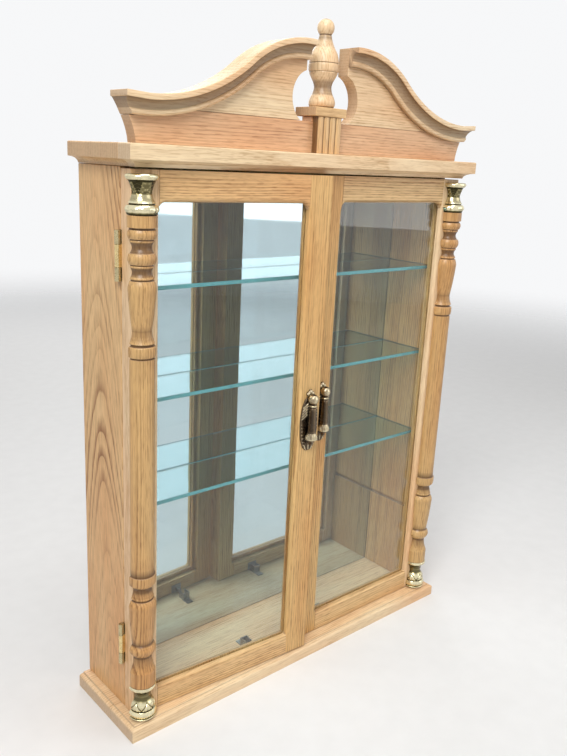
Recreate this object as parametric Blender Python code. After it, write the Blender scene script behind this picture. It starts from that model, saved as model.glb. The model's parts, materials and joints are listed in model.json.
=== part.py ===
# Wall curio cabinet: an oak case with two glazed doors, a mirror back, glass shelves
# in grooves, half-round turned columns and a swan-neck pediment with a finial.
# Metres, +Z up, the front towards -Y. The back plane is y = 0 until the last step,
# which moves the root so that the origin lies on the floor under the middle of the box.

import math

import bmesh
import bpy
from mathutils import Matrix, Vector

# Fits
FIT = 0.0003  # gap between two pieces that touch
OVERRUN = 0.001  # how far a cutter runs past the face that it opens

# Facets
HALF_COLUMN_FACETS = 7
FINIAL_FACETS = 12
PENDANT_FACETS = 10
KNUCKLE_FACETS = 12
ROD_FACETS = 8
SCREW_FACETS = 6
BEAD_STEPS = 4
CORNER_STEPS = 4
REED_STEPS = 4
COVE_STEPS = 5
BALL_STEPS = 8
TIP_STEPS = 3
LOBE_STEPS = 10
SCROLL_LOW_STEPS = 11
SCROLL_PEAK_STEPS = 9
POLE = 84.0  # degrees, where a ball ends in a small flat
SMOOTH_UNDER = 40.0  # degrees between facets that look round

# Case
CASE_WIDTH = 0.4328  # over the outer faces of the two side panels
SIDE_DEPTH = 0.0741
SIDE_HEIGHT = 0.5259
SIDE_THICK = 0.010
BASE_THICK = 0.015
BASE_SIDE_OVERHANG = 0.0121
BASE_FRONT_OVERHANG = 0.0169  # in front of the doors
BASE_EDGE_ROUND = 0.003
BASE_EDGE_LEDGE = 0.002
BASE_EDGE_STEP = 0.0015
BASE_EDGE_FALL = 0.0003  # slope of the ledge
TOP_THICK = 0.0185
TOP_SIDE_OVERHANG = 0.01005  # the cove under the edge starts at the case
TOP_FRONT_OVERHANG = 0.015  # in front of the doors
TOP_COVE_RISE = 0.0058
TOP_EDGE_ROUND = 0.0015
TOP_STRIP_DEPTH = 0.020
DOWEL_RADIUS = 0.0025
DOWEL_LENGTH = 0.016
DOWEL_SPREAD = 0.036  # between the two dowels at the end of a side panel

# Back and shelves
MIRROR_THICK = 0.0025
BACK_THICK = 0.0025
BACK_LAP = 0.005  # how far the mirror and the back panel reach into each side
BAYS = 5  # equal spaces between the floor, the four grooves and the top
SHELF_THICK = 0.004
SHELF_LAP = 0.0045  # how far a shelf reaches into each groove
SHELF_SETBACK = 0.004

# Door frames
DOOR_THICK = 0.0185
DOOR_GAP = 0.0010  # between the door's back and the side panel's front edge
DOOR_TOP_GAP = 0.0017
DOOR_BOTTOM_GAP = 0.001
MEETING_GAP = 0.0015
LEFT_AJAR = math.radians(4.0)
HINGE_STILE = 0.0265
MEETING_STILE = 0.027
TOP_RAIL = 0.027
BOTTOM_RAIL = 0.023
CORNER_TOP = 0.008
CORNER_BOTTOM = 0.003
ARRIS = 0.0035  # rounded front edge of the opening
GLASS_THICK = 0.003
GLASS_LIP = 0.006  # wood in front of the glass
GLASS_LAP = 0.005
GLASS_PLAY = 0.0005
STOP_SHARE = 0.45  # of the rebate's depth behind the glass

# Hinges
HINGE_HEIGHT = 0.0436
HINGE_INSET = 0.074  # from the floor or the top to the middle of a hinge
LEAF_WIDTH = 0.008
LEAF_THICK = 0.0012
BARREL_WALL = 0.0013
MIDDLE_KNUCKLE = 0.020
PIN_RADIUS = 0.0011

# Screws
SCREW_RADIUS = 0.0010
SCREW_HEAD_RADIUS = 0.0019
SCREW_HEAD_DEPTH = 0.0008
SCREW_PROUD = 0.0002  # the head's face over the plate
SCREW_LENGTH = 0.009
SCREW_SPREAD = 0.024  # between the two screws of a hinge leaf

# Columns, on the hinge stiles
COLUMN_INSET = 0.0094  # from the door's outer edge to the column's middle
COLUMN_RADIUS = 0.0125
SHAFT_SLIM = 0.0007  # the plain shaft's radius under the main radius
SHOULDER = 0.0005  # height of the step onto the shaft at each end
CAPITAL_DROP = 0.0035  # from the door's top to the capital

# Pulls
PULL_HEIGHT = 0.2735  # of the middle of the plate above the floor of the case
PLATE_HALF_HEIGHT = 0.0298
PLATE_HALF_WIDTH = 0.0113
PLATE_THICK = 0.0012
PLATE_EDGE = 0.0007  # straight part of the plate's edge
PLATE_FACE = 0.86  # size of the flat face over the whole outline
CROWN_RADIUS = 0.0055
CROWN_RISE = 0.0017  # from the top of the oval to the crown's middle
PLATE_ROWS = 16
PIVOT_DROP = 0.0005  # from the top of the oval to the pendant's axis
LUG_THICK = 0.002
LUG_RADIUS = 0.0022
LUG_BAR = 0.0015  # half the height of the bar between the post and the eye
POST_RADIUS = 0.002
POST_DEPTH = 0.012  # into the stile
PULL_PIN_RADIUS = 0.0008
PULL_PIN_REACH = 0.0036
PENDANT_OUT = 0.0047  # from the plate's face to the pendant's axis
PENDANT_BACK = 0.0036  # from the axis to the pendant's flat back
PENDANT_HANG = 0.0018  # from the axis down to the middle of the ball
PENDANT_BALL = 0.0055
PENDANT_RADIUS = 0.0065  # at the skirt
PENDANT_TIP = 0.0065
PENDANT_TIP_RADIUS = 0.0022

# Catches, under the doors' free ends
CATCH_X = 0.057
STRIKE_WIDTH = 0.014
STRIKE_HEIGHT = 0.010
STRIKE_THICK = 0.0012
STRIKE_SCREW = 0.0049  # from the tongue to each screw
TONGUE_LENGTH = 0.009
TONGUE_HALF = 0.002  # at the shoulder
TONGUE_NECK = 0.0012  # half the width of the neck
TONGUE_NECK_LENGTH = 0.0036
TONGUE_SHOULDER = 0.0063  # from the strike to the widest place
TONGUE_POINT = 0.0006  # half the width of the tip
TONGUE_HEIGHT = 0.0044
CATCH_PLAY = 0.0008  # between the tongue and each jaw
CLIP_THICK = 0.0008
CLIP_BELLY = 0.00096  # how far the arms bow out from the jaws
CLIP_JAW_AT = 0.25  # where the jaws are, over the clip's depth
CLIP_BELLY_AT = 0.7  # where the arms run straight again
CLIP_HEIGHT = 0.010
CLIP_FOOT = 0.009
CLIP_FOOT_THICK = 0.0012

# Wall hangers, let into the back edge of the top
HANGER_INSET = 0.0664  # from the case's outer face to the hanger's middle
HANGER_WIDTH = 0.046
HANGER_HEIGHT = 0.010
HANGER_THICK = 0.0012
HANGER_POCKET = 0.006
HANGER_SCREW = 0.0172  # from the hanger's middle to each screw
HANGER_TEETH = 5
HANGER_TOOTH = 0.0033

# Pediment, heights above the top
PEDIMENT_SETBACK = 0.0191  # behind the front edge of the top
PEDIMENT_THICK = 0.0135
PEDIMENT_INSET = 0.0043  # inside the case, at each end
PEDIMENT_TAPER = 0.0018  # how far its foot lies inside the scroll boards' ends
END_HOLLOW = 1.65  # power of the hollow that each end follows
PEDIMENT_SEAM = 0.0292
SCROLL_LOW_INSET = 0.0071  # from the board's end to the lowest point
SCROLL_LOW = 0.0387
SCROLL_LOW_RADIUS = 0.160
SCROLL_PEAK_X = 0.034
SCROLL_PEAK = 0.1002
SCROLL_GAP = 0.027  # from the middle to each scroll's inner end
MOULDING_OUT = 0.0133
MOULDING_BAND = 0.0050
MOULDING_COVE = 0.0072
MOULDING_QUIRK = 0.0010
MOULDING_BEAD = 0.0049  # height of the bead under the cove
MOULDING_BEAD_OUT = 0.0053
MOULDING_BEAD_SWELL = 0.0016
LOBE_IN = 0.006  # from the scroll's inner end to the lobe's middle
LOBE_WIDE = 0.0223
LOBE_RISE = 0.0212  # from the seam to the lobe's middle
LOBE_UNDERCUT = 60.0  # degrees of the lobe under its middle
PILASTER_HALF = 0.016
PILASTER_THICK = 0.0075
REEDS = 4
REED_RISE = 0.0016
REED_EDGE = 12.0  # degrees of each reed's round that its neighbour hides
CAP_HALF = 0.0206
CAP_DEPTH = 0.030
CAP_RISE = 0.0051  # from the seam to the cap
CAP_THICK = 0.0084
CAP_OVERHANG = 0.001  # in front of the pilaster
SEAT_HALF = 0.018
FINIAL_RADIUS = 0.0145
FINIAL_BALL = 0.0082
FINIAL_TENON = 0.004
FINIAL_TENON_LENGTH = 0.006
PEDIMENT_DOWEL_INSET = 0.0621  # from the board's end

# Heights and planes that follow from the sizes
HALF = CASE_WIDTH / 2
INNER = HALF - SIDE_THICK
FLOOR = BASE_THICK
SIDE_LOW = FLOOR + FIT
SIDE_HIGH = SIDE_LOW + SIDE_HEIGHT
CEILING = SIDE_HIGH + FIT
TOP = CEILING + TOP_THICK
MIRROR_FRONT = -(BACK_THICK + FIT + MIRROR_THICK)
DOOR_BACK = -(SIDE_DEPTH + DOOR_GAP)
DOOR_FRONT = DOOR_BACK - DOOR_THICK
BASE_WIDTH = CASE_WIDTH + 2 * BASE_SIDE_OVERHANG
BASE_FRONT = DOOR_FRONT - BASE_FRONT_OVERHANG
TOP_WIDTH = CASE_WIDTH + 2 * TOP_SIDE_OVERHANG
TOP_FRONT = DOOR_FRONT - TOP_FRONT_OVERHANG
DOOR_LOW = FLOOR + DOOR_BOTTOM_GAP
DOOR_HIGH = CEILING - DOOR_TOP_GAP
MEETING_EDGE = MEETING_GAP / 2
OPEN_INNER = MEETING_EDGE + MEETING_STILE
OPEN_OUTER = HALF - HINGE_STILE
OPEN_LOW = DOOR_LOW + BOTTOM_RAIL
OPEN_HIGH = DOOR_HIGH - TOP_RAIL
GLASS_SEAT = DOOR_FRONT + GLASS_LIP
GLASS_BACK = GLASS_SEAT + FIT + GLASS_THICK
BARREL_BORE = PIN_RADIUS + FIT
BARREL_RADIUS = BARREL_BORE + BARREL_WALL
HINGE_X = HALF + FIT + BARREL_RADIUS
HINGE_Y = -(SIDE_DEPTH + DOOR_GAP / 2)
PULL_X = MEETING_EDGE + MEETING_STILE / 2
PLATE_BACK = DOOR_FRONT - FIT
PLATE_FRONT = PLATE_BACK - PLATE_THICK
PULL_Z = FLOOR + PULL_HEIGHT
PIVOT_Y = PLATE_FRONT - PENDANT_OUT
PIVOT_Z = PULL_Z + PLATE_HALF_HEIGHT - PIVOT_DROP
STRIKE_BACK = DOOR_BACK + FIT + STRIKE_THICK
TONGUE_TIP = STRIKE_BACK + TONGUE_LENGTH
TONGUE_Z = DOOR_LOW + STRIKE_HEIGHT / 2 + FIT
PEDIMENT_LOW = TOP + FIT
BOARD_FRONT = TOP_FRONT + PEDIMENT_SETBACK
BOARD_BACK = BOARD_FRONT + PEDIMENT_THICK
PEDIMENT_HALF = HALF - PEDIMENT_INSET
SCROLL_LOW_X = PEDIMENT_HALF - SCROLL_LOW_INSET
MOULDING_TALL = MOULDING_BAND + MOULDING_COVE + MOULDING_BEAD
SEAM = TOP + PEDIMENT_SEAM
CAP_LOW = SEAM + CAP_RISE
CAP_HIGH = CAP_LOW + CAP_THICK
PILASTER_FRONT = BOARD_FRONT - FIT - PILASTER_THICK
CAP_FRONT = PILASTER_FRONT - CAP_OVERHANG
FINIAL_Y = CAP_FRONT + CAP_DEPTH / 2

# Finishes: colour, roughness, metallic
OAK = ((0.58, 0.36, 0.17), 0.42, 0.0)
OAK_PALE = ((0.66, 0.44, 0.23), 0.45, 0.0)
BRASS = ((0.80, 0.66, 0.34), 0.22, 1.0)
ANTIQUE = ((0.24, 0.18, 0.10), 0.35, 1.0)
STEEL = ((0.36, 0.36, 0.34), 0.40, 1.0)
GLASS = ((0.80, 0.92, 0.92), 0.05, 0.0)
MIRROR = ((0.86, 0.90, 0.90), 0.03, 1.0)
BOARD = ((0.36, 0.26, 0.17), 0.80, 0.0)

# Turnings: length, end radius over the main radius, and bulge of each stretch.
# A bulge over 0 is a bead and under 0 a hollow. The first stretch starts at its own end radius.
UPPER_TURNING = (
    (0.0098, 0.0007, 0.0),
    (0.0020, -0.0015, 0.0),
    (0.0074, -0.0012, 0.0020),
    (0.0030, -0.0021, 0.0),
    (0.0088, -0.0018, -0.0017),
    (0.0093, -0.0015, 0.0020),
    (0.0030, -0.0023, 0.0),
    (0.0080, -0.0021, -0.0015),
    (0.0030, -0.0015, 0.0),
    (0.0100, 0.0002, 0.0008),
    (0.0330, -0.0035, 0.0004),
    (0.0110, -0.0008, -0.0006),
    (0.0025, -0.0010, 0.0),
    (0.0097, -0.0009, 0.0012),
)
LOWER_TURNING = (
    (0.0157, 0.0003, 0.0),
    (0.0150, -0.0033, -0.0008),
    (0.0020, -0.0029, 0.0),
    (0.0135, -0.0021, 0.0034),
    (0.0385, 0.0011, 0.0004),
    (0.0085, -0.0010, 0.0010),
    (0.0022, -0.0021, 0.0),
    (0.0023, -0.0016, 0.0),
    (0.0074, -0.0038, 0.0),
    (0.0027, -0.0025, 0.0),
    (0.0031, 0.0004, 0.0004),
    (0.0084, 0.0007, 0.0),
)
CAPITAL_TURNING = (
    (0.0014, 0.0007, 0.0),
    (0.0072, 0.0003, 0.0022),
    (0.0012, -0.0001, 0.0),
    (0.0070, -0.0039, -0.0010),
    (0.0024, -0.0037, -0.0004),
    (0.0084, -0.0007, 0.0008),
    (0.0012, 0.0013, 0.0),
    (0.0042, 0.0013, 0.0009),
)
FOOT_TURNING = (
    (0.0016, 0.0011, 0.0),
    (0.0070, 0.0005, 0.0014),
    (0.0012, -0.0001, 0.0),
    (0.0100, -0.0039, 0.0012),
    (0.0044, -0.0037, -0.0006),
    (0.0030, -0.0013, 0.0),
    (0.0088, 0.0005, 0.0010),
)
FINIAL_TURNING = (
    (0.0020, -0.0034, 0.0),
    (0.0090, -0.0045, 0.0026),
    (0.0085, -0.0065, -0.0008),
    (0.0130, -0.0005, -0.0006),
    (0.0040, -0.0005, 0.0006),
    (0.0060, -0.0013, 0.0008),
    (0.0182, -0.0093, 0.0014),
    (0.0022, -0.0085, 0.0006),
    (0.0022, -0.0101, 0.0),
)
PENDANT_TURNING = (
    (0.0012, -0.0035, 0.0),
    (0.0022, -0.0033, 0.0010),
    (0.0026, -0.0031, 0.0),
    (0.0240, -0.0019, 0.0),
    (0.0011, -0.0022, 0.0),
    (0.0077, 0.0, -0.0005),
    (0.0008, -0.0019, 0.0),
)

pieces = []


# Modelling helpers

def arc(start, end, steps):
    return [math.radians(start + (end - start) * i / steps) for i in range(steps + 1)]


def loft(rings, closed=False):
    # a skin over rings of points, with a cap on each end or closed back to the first ring
    mesh = bmesh.new()
    loops = [[mesh.verts.new(point) for point in ring] for ring in rings]
    count = len(rings[0])
    for lower, upper in zip(loops, loops[1:] + loops[:1] if closed else loops[1:]):
        for i in range(count):
            j = (i + 1) % count
            mesh.faces.new((lower[i], lower[j], upper[j], upper[i]))
    if not closed:
        mesh.faces.new(loops[0])
        mesh.faces.new(loops[-1])
    bmesh.ops.recalc_face_normals(mesh, faces=mesh.faces)
    return mesh


def box(low, high):
    (x0, y0, z0), (x1, y1, z1) = low, high
    rings = [[(x0, y0, z), (x1, y0, z), (x1, y1, z), (x0, y1, z)] for z in (z0, z1)]
    return loft(rings)


def upright_prism(outline, low, high):
    return loft([[(x, y, z) for x, y in outline] for z in (low, high)])


def facing_prism(outline, front, back):
    return loft([[(x, y, z) for x, z in outline] for y in (front, back)])


def cylinder(start, end, radius, facets=ROD_FACETS):
    start, end = Vector(start), Vector(end)
    turn = Vector((0, 0, 1)).rotation_difference(end - start)
    circle = [Vector((radius * math.cos(a), radius * math.sin(a), 0)) for a in arc(0, 360, facets)[:-1]]
    return loft([[middle + turn @ point for point in circle] for middle in (start, end)])


def join(meshes):
    whole = bmesh.new()
    for mesh in meshes:
        data = bpy.data.meshes.new("joined")
        mesh.to_mesh(data)
        whole.from_mesh(data)
        bpy.data.meshes.remove(data)
    return whole


def turning(stretches, main_radius, height, direction=1):
    # profile points (radius, height) of a row of turned stretches, up or down from a height
    radius = main_radius + stretches[0][1]
    profile = [(radius, height)]
    for length, over, bulge in stretches:
        end = main_radius + over
        steps = BEAD_STEPS if bulge else 1
        for i in range(1, steps + 1):
            t = i / steps
            swell = bulge * math.sin(math.pi * t)
            profile.append((radius + (end - radius) * t + swell, height + direction * length * t))
        radius = end
        height += direction * length
    return profile


def turned_length(stretches):
    return sum(length for length, over, bulge in stretches)


def half_round(profile, x, y):
    angles = arc(0, 180, HALF_COLUMN_FACETS)
    return loft([[(x + r * math.cos(a), y - r * math.sin(a), z) for a in angles] for r, z in profile])


def full_round(profile, x, y, steps):
    angles = arc(0, 360, steps)[:-1]
    return loft([[(x + r * math.cos(a), y + r * math.sin(a), z) for a in angles] for r, z in profile])


def ball_profile(radius, middle, start, end, steps):
    return [(radius * math.cos(a), middle + radius * math.sin(a)) for a in arc(start, end, steps)]


def strip(path, thickness):
    # outline of a bent strip of even thickness along a path of (x, y) points
    points = [Vector(point) for point in path]
    left, right = [], []
    for i, point in enumerate(points):
        before = (point - points[i - 1]).normalized() if i else (points[1] - point).normalized()
        after = (points[i + 1] - point).normalized() if i + 1 < len(points) else before
        mitre = (before + after).normalized()
        across = Vector((-mitre.y, mitre.x)) * thickness / 2 / mitre.dot(before)
        left.append(point + across)
        right.append(point - across)
    return left + right[::-1]


def mirrored(mesh):
    mesh.transform(Matrix.Scale(-1, 4, (1, 0, 0)))
    bmesh.ops.reverse_faces(mesh, faces=mesh.faces)
    return mesh


def material(name, finish):
    colour, roughness, metallic = finish
    paint = bpy.data.materials.new(name)
    paint.use_nodes = True
    shader = paint.node_tree.nodes["Principled BSDF"]
    shader.inputs["Base Color"].default_value = (*colour, 1.0)
    shader.inputs["Roughness"].default_value = roughness
    shader.inputs["Metallic"].default_value = metallic
    if finish is GLASS:
        shader.inputs["Transmission Weight"].default_value = 1.0
    return paint


class Carrier:
    # An empty on a joint's axis, with the place of that axis while the doors are shut.
    def __init__(self, name, pivot, parent=None, turn=0.0):
        self.pivot = Vector(pivot)
        self.empty = bpy.data.objects.new(name, None)
        bpy.context.collection.objects.link(self.empty)
        self.empty.rotation_euler.z = turn
        self.empty.location = self.pivot
        if parent:
            self.empty.parent = parent.empty
            self.empty.location = self.pivot - parent.pivot

    def hold(self, name, mesh, side):
        # a mesh modelled for the right half, in the place that it has while the doors are shut
        if side < 0:
            mirrored(mesh)
        mesh.transform(Matrix.Translation(-self.pivot))
        data = bpy.data.meshes.new(name)
        mesh.to_mesh(data)
        mesh.free()
        thing = bpy.data.objects.new(name, data)
        bpy.context.collection.objects.link(thing)
        thing.parent = self.empty
        return thing


class Piece:
    # One sub-part: an object with its own material, on a carrier.
    def __init__(self, name, mesh, finish, carrier, side=1, smooth=False):
        self.carrier, self.side = carrier, side
        self.thing = carrier.hold(name, mesh, side)
        self.thing.data.materials.append(material(name, finish))
        if smooth:
            self.thing.data.shade_smooth()
            self.thing.data.set_sharp_from_angle(angle=math.radians(SMOOTH_UNDER))
        self.studs, self.holes = [], []
        pieces.append(self)

    def combine(self, mesh, operation):
        tool = self.carrier.hold(self.thing.name + "_tool", mesh, self.side)
        tool.hide_render = True
        tool.display_type = "WIRE"
        step = self.thing.modifiers.new(operation.title(), "BOOLEAN")
        step.operation = operation
        step.object = tool

    def cut(self, mesh):
        self.combine(mesh, "DIFFERENCE")

    def weld(self, mesh):
        self.combine(mesh, "UNION")

    def drill(self, mesh, side):
        # a hole modelled for the right half; all holes of a piece are cut together, so they lie apart
        self.holes.append(mesh if side == self.side else mirrored(mesh))

    def complete(self):
        if self.studs:
            self.weld(join(self.studs))
        if self.holes:
            self.cut(join(self.holes))


def screw_shape(point, direction, grow=0.0):
    # a screw with its head a little proud of the surface at the point, or the hole for it
    head, shank = SCREW_HEAD_RADIUS + grow, SCREW_RADIUS + grow
    face = OVERRUN if grow else SCREW_PROUD
    profile = [(head, face), (head, 0.0), (shank, -SCREW_HEAD_DEPTH), (shank, -SCREW_LENGTH - grow)]
    mesh = full_round(profile, 0, 0, SCREW_FACETS)
    turn = Vector((0, 0, -1)).rotation_difference(Vector(direction))
    mesh.transform(Matrix.Translation(point) @ turn.to_matrix().to_4x4())
    return mesh


def screw(point, direction, side, holder, wood):
    # driven home through its holder, which it is one solid with, into a hole in the wood
    holder.studs.append(screw_shape(point, direction))
    wood.drill(screw_shape(point, direction, FIT), side)


def dowel(point, side, holder, boards, upward):
    # glued into its holder and standing out of it, upward or downward, into a hole in the boards
    point = Vector(point)
    along = Vector((0, 0, DOWEL_LENGTH / 2 * upward))
    slack = Vector((0, 0, FIT * upward))
    holder.studs.append(cylinder(point - along, point + along, DOWEL_RADIUS))
    for board in boards:
        board.drill(cylinder(point - along, point + along + slack, DOWEL_RADIUS + FIT), side)


# Case

def moulded_board(width, back, front, layers, front_edge):
    # layers of (height, inset); the back edge has no inset
    rings = []
    for height, inset in layers:
        x = width / 2 - inset
        y = front + inset if front_edge else front
        rings.append([(-x, back, height), (-x, y, height), (x, y, height), (x, back, height)])
    return loft(rings)


def rounded_edge(top, radius):
    # (height, inset) layers of a quarter round that ends level with the top
    low = top - radius
    return [(low + radius * math.sin(a), radius - radius * math.cos(a)) for a in arc(0, 90, CORNER_STEPS)]


def make_base(case):
    shoulder = BASE_THICK - BASE_EDGE_STEP
    inset = BASE_EDGE_ROUND + BASE_EDGE_LEDGE
    layers = [(0.0, 0.0)] + rounded_edge(shoulder, BASE_EDGE_ROUND)
    layers += [(shoulder + BASE_EDGE_FALL, inset), (BASE_THICK, inset)]
    return Piece("base_board", moulded_board(BASE_WIDTH, 0, BASE_FRONT, layers, True), OAK, case)


def make_top(case):
    # a board and the strip glued to its front, with one moulded edge round both
    cove = []
    for a in arc(0, 90, CORNER_STEPS):
        cove.append((CEILING + TOP_COVE_RISE * math.sin(a), TOP_SIDE_OVERHANG * math.cos(a)))
    layers = cove + rounded_edge(TOP, TOP_EDGE_ROUND)
    seam = TOP_FRONT + TOP_STRIP_DEPTH
    board = Piece("top_board", moulded_board(TOP_WIDTH, 0, seam + FIT, layers, False), OAK, case)
    strip_mesh = moulded_board(TOP_WIDTH, seam, TOP_FRONT, layers, True)
    return board, Piece("top_front_strip", strip_mesh, OAK_PALE, case)


def groove_height(level):
    return FLOOR + level * (CEILING - FLOOR) / BAYS


def hinge_span(middle):
    return middle - HINGE_HEIGHT / 2, middle + HINGE_HEIGHT / 2


def make_side(case, hand, side, base, tops):
    mesh = box((INNER, -SIDE_DEPTH, SIDE_LOW), (HALF, 0, SIDE_HIGH))
    panel = Piece("%s_side_panel" % hand, mesh, OAK, case, side)
    rebate_low = (INNER - OVERRUN, MIRROR_FRONT - FIT, SIDE_LOW - OVERRUN)
    panel.cut(box(rebate_low, (INNER + BACK_LAP, OVERRUN, SIDE_HIGH + OVERRUN)))
    half_groove = SHELF_THICK / 2 + FIT
    grooves = []
    for level in range(1, BAYS):
        z = groove_height(level)
        low = (INNER - OVERRUN, -SIDE_DEPTH - OVERRUN, z - half_groove)
        grooves.append(box(low, (INNER + SHELF_LAP + FIT, OVERRUN, z + half_groove)))
    panel.cut(join(grooves))
    for offset in (-DOWEL_SPREAD / 2, DOWEL_SPREAD / 2):
        x, y = HALF - SIDE_THICK / 2, offset - SIDE_DEPTH / 2
        dowel((x, y, SIDE_LOW), side, panel, (base,), -1)
        dowel((x, y, SIDE_HIGH), side, panel, tops, 1)
    return panel


def make_back(case):
    reach = INNER + BACK_LAP - FIT
    low, high = FLOOR + FIT, CEILING - FIT
    Piece("back_panel", box((-reach, -BACK_THICK, low), (reach, 0, high)), BOARD, case)
    glass = box((-reach, MIRROR_FRONT, low), (reach, MIRROR_FRONT + MIRROR_THICK, high))
    Piece("back_mirror", glass, MIRROR, case)


def make_shelves(case):
    reach = INNER + SHELF_LAP
    front = SHELF_SETBACK - SIDE_DEPTH
    for name, level in (("lower_shelf", BAYS - 3), ("middle_shelf", BAYS - 2), ("upper_shelf", BAYS - 1)):
        z = groove_height(level)
        low = (-reach, front, z - SHELF_THICK / 2)
        Piece(name, box(low, (reach, MIRROR_FRONT - FIT, z + SHELF_THICK / 2)), GLASS, case)


def make_hanger(case, hand, side, top):
    x, z = HALF - HANGER_INSET, CEILING + TOP_THICK / 2
    half, tall = HANGER_WIDTH / 2, HANGER_HEIGHT / 2
    tooth = half / HANGER_TEETH
    outline = [(x - half, z + tall), (x - half, z - tall), (x - half / 2, z - tall)]
    for i in range(HANGER_TEETH):
        start = x - half / 2 + i * tooth
        outline += [(start + tooth / 2, z - tall + HANGER_TOOTH), (start + tooth, z - tall)]
    outline += [(x + half, z - tall), (x + half, z + tall)]
    hanger = Piece("%s_wall_hanger" % hand, facing_prism(outline, -HANGER_THICK, 0), STEEL, case, side)
    low = (x - half - FIT, -HANGER_THICK - FIT, z - tall - FIT)
    pocket = box(low, (x + half + FIT, OVERRUN, z + tall + FIT))
    low = (x - half / 2 - FIT, -HANGER_POCKET, z - tall - FIT)
    well = box(low, (x + half / 2 + FIT, OVERRUN, z + tall / 2))
    for hollow in (pocket, well):
        top.cut(hollow if side == top.side else mirrored(hollow))
    for offset in (-HANGER_SCREW, HANGER_SCREW):
        screw((x + offset, -HANGER_THICK / 2, z), (0, -1, 0), side, hanger, top)


# Pediment

def scroll_curve():
    # points and outward normals of the right half's top edge, from the outer end to the inner end
    run, rise = SCROLL_LOW_X - SCROLL_PEAK_X, SCROLL_PEAK - SCROLL_LOW
    slope = 2 * math.atan2(rise, run)
    high_radius = run / math.sin(slope) - SCROLL_LOW_RADIUS
    end = math.degrees(math.asin((PEDIMENT_HALF - SCROLL_LOW_X) / SCROLL_LOW_RADIUS))
    start = math.degrees(math.asin((SCROLL_GAP - SCROLL_PEAK_X) / high_radius))
    bend = math.degrees(slope)
    curve = []
    for a in arc(end, -bend, SCROLL_LOW_STEPS):
        x = SCROLL_LOW_X + SCROLL_LOW_RADIUS * math.sin(a)
        z = TOP + SCROLL_LOW + SCROLL_LOW_RADIUS * (1 - math.cos(a))
        curve.append(((x, z), (-math.sin(a), math.cos(a))))
    for a in arc(bend, start, SCROLL_PEAK_STEPS)[1:]:
        x = SCROLL_PEAK_X + high_radius * math.sin(a)
        z = TOP + SCROLL_PEAK - high_radius * (1 - math.cos(a))
        curve.append(((x, z), (math.sin(a), math.cos(a))))
    return curve


def scroll_height(x):
    # of the right half's top edge, near its outer end
    lean = math.asin((x - SCROLL_LOW_X) / SCROLL_LOW_RADIUS)
    return TOP + SCROLL_LOW + SCROLL_LOW_RADIUS * (1 - math.cos(lean))


def moulding_section():
    # (out, up) points: a flat band over a cove and a bead
    out = MOULDING_OUT - MOULDING_QUIRK
    section = [(FIT, 0.0), (MOULDING_OUT, 0.0), (MOULDING_OUT, -MOULDING_BAND)]
    for a in arc(0, 90, COVE_STEPS):
        fall = MOULDING_COVE * (1 - math.cos(a))
        section.append((out - (out - MOULDING_BEAD_OUT) * math.sin(a), -MOULDING_BAND - fall))
    for a in arc(0, 180, BEAD_STEPS)[1:]:
        fall = MOULDING_BEAD * a / math.pi
        out = MOULDING_BEAD_OUT + MOULDING_BEAD_SWELL * math.sin(a)
        section.append((out, -MOULDING_BAND - MOULDING_COVE - fall))
    return section + [(FIT, -MOULDING_TALL)]


def end_reach(z):
    # how far the pediment's hollowed end stands out past the scroll boards at a height
    band = scroll_height(PEDIMENT_HALF + MOULDING_OUT) - MOULDING_BAND
    rise = (z - PEDIMENT_LOW) / (band - PEDIMENT_LOW)
    return (MOULDING_OUT - MOULDING_QUIRK + PEDIMENT_TAPER) * rise ** END_HOLLOW - PEDIMENT_TAPER


def end_corner(out, up):
    # (x, z) on the pediment's end for a point of the moulding's section
    if FIT < out and up < -MOULDING_BAND:
        out = end_reach(scroll_height(PEDIMENT_HALF + out) + up)
    return PEDIMENT_HALF + out, scroll_height(PEDIMENT_HALF + out) + up


def make_scroll(case, name, side):
    # swept along the curve, mitred at the board's corner and returned along its hollowed end
    section = moulding_section()
    curve = scroll_curve()
    rings = [[(SCROLL_GAP, BOARD_FRONT - out, curve[-1][0][1] + up) for out, up in section]]
    for (x, z), (nx, nz) in reversed(curve[1:-1]):
        rings.append([(x + nx * up, BOARD_FRONT - out, z + nz * up) for out, up in section])
    end = [end_corner(out, up) for out, up in section]
    rings.append([(x, BOARD_FRONT - out, z) for (x, z), (out, up) in zip(end, section)])
    rings.append([(x, BOARD_BACK, z) for x, z in end])
    Piece(name, loft(rings), OAK_PALE, case, side)


def lower_board_outline():
    # front view: ends hollowed under the moulding's return and let in behind it, and the cap's seat
    lip = end_corner(MOULDING_BEAD_OUT, -MOULDING_TALL)[1] - FIT
    half = []
    for i in range(CORNER_STEPS + 1):
        z = PEDIMENT_LOW + (lip - PEDIMENT_LOW) * i / CORNER_STEPS
        half.append((PEDIMENT_HALF + end_reach(z), z))
    half += [(PEDIMENT_HALF, scroll_height(PEDIMENT_HALF) - MOULDING_TALL - FIT), (PEDIMENT_HALF, SEAM)]
    half += [(SEAT_HALF, SEAM), (SEAT_HALF, CAP_LOW - FIT)]
    return half + [(-x, z) for x, z in reversed(half)]


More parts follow.
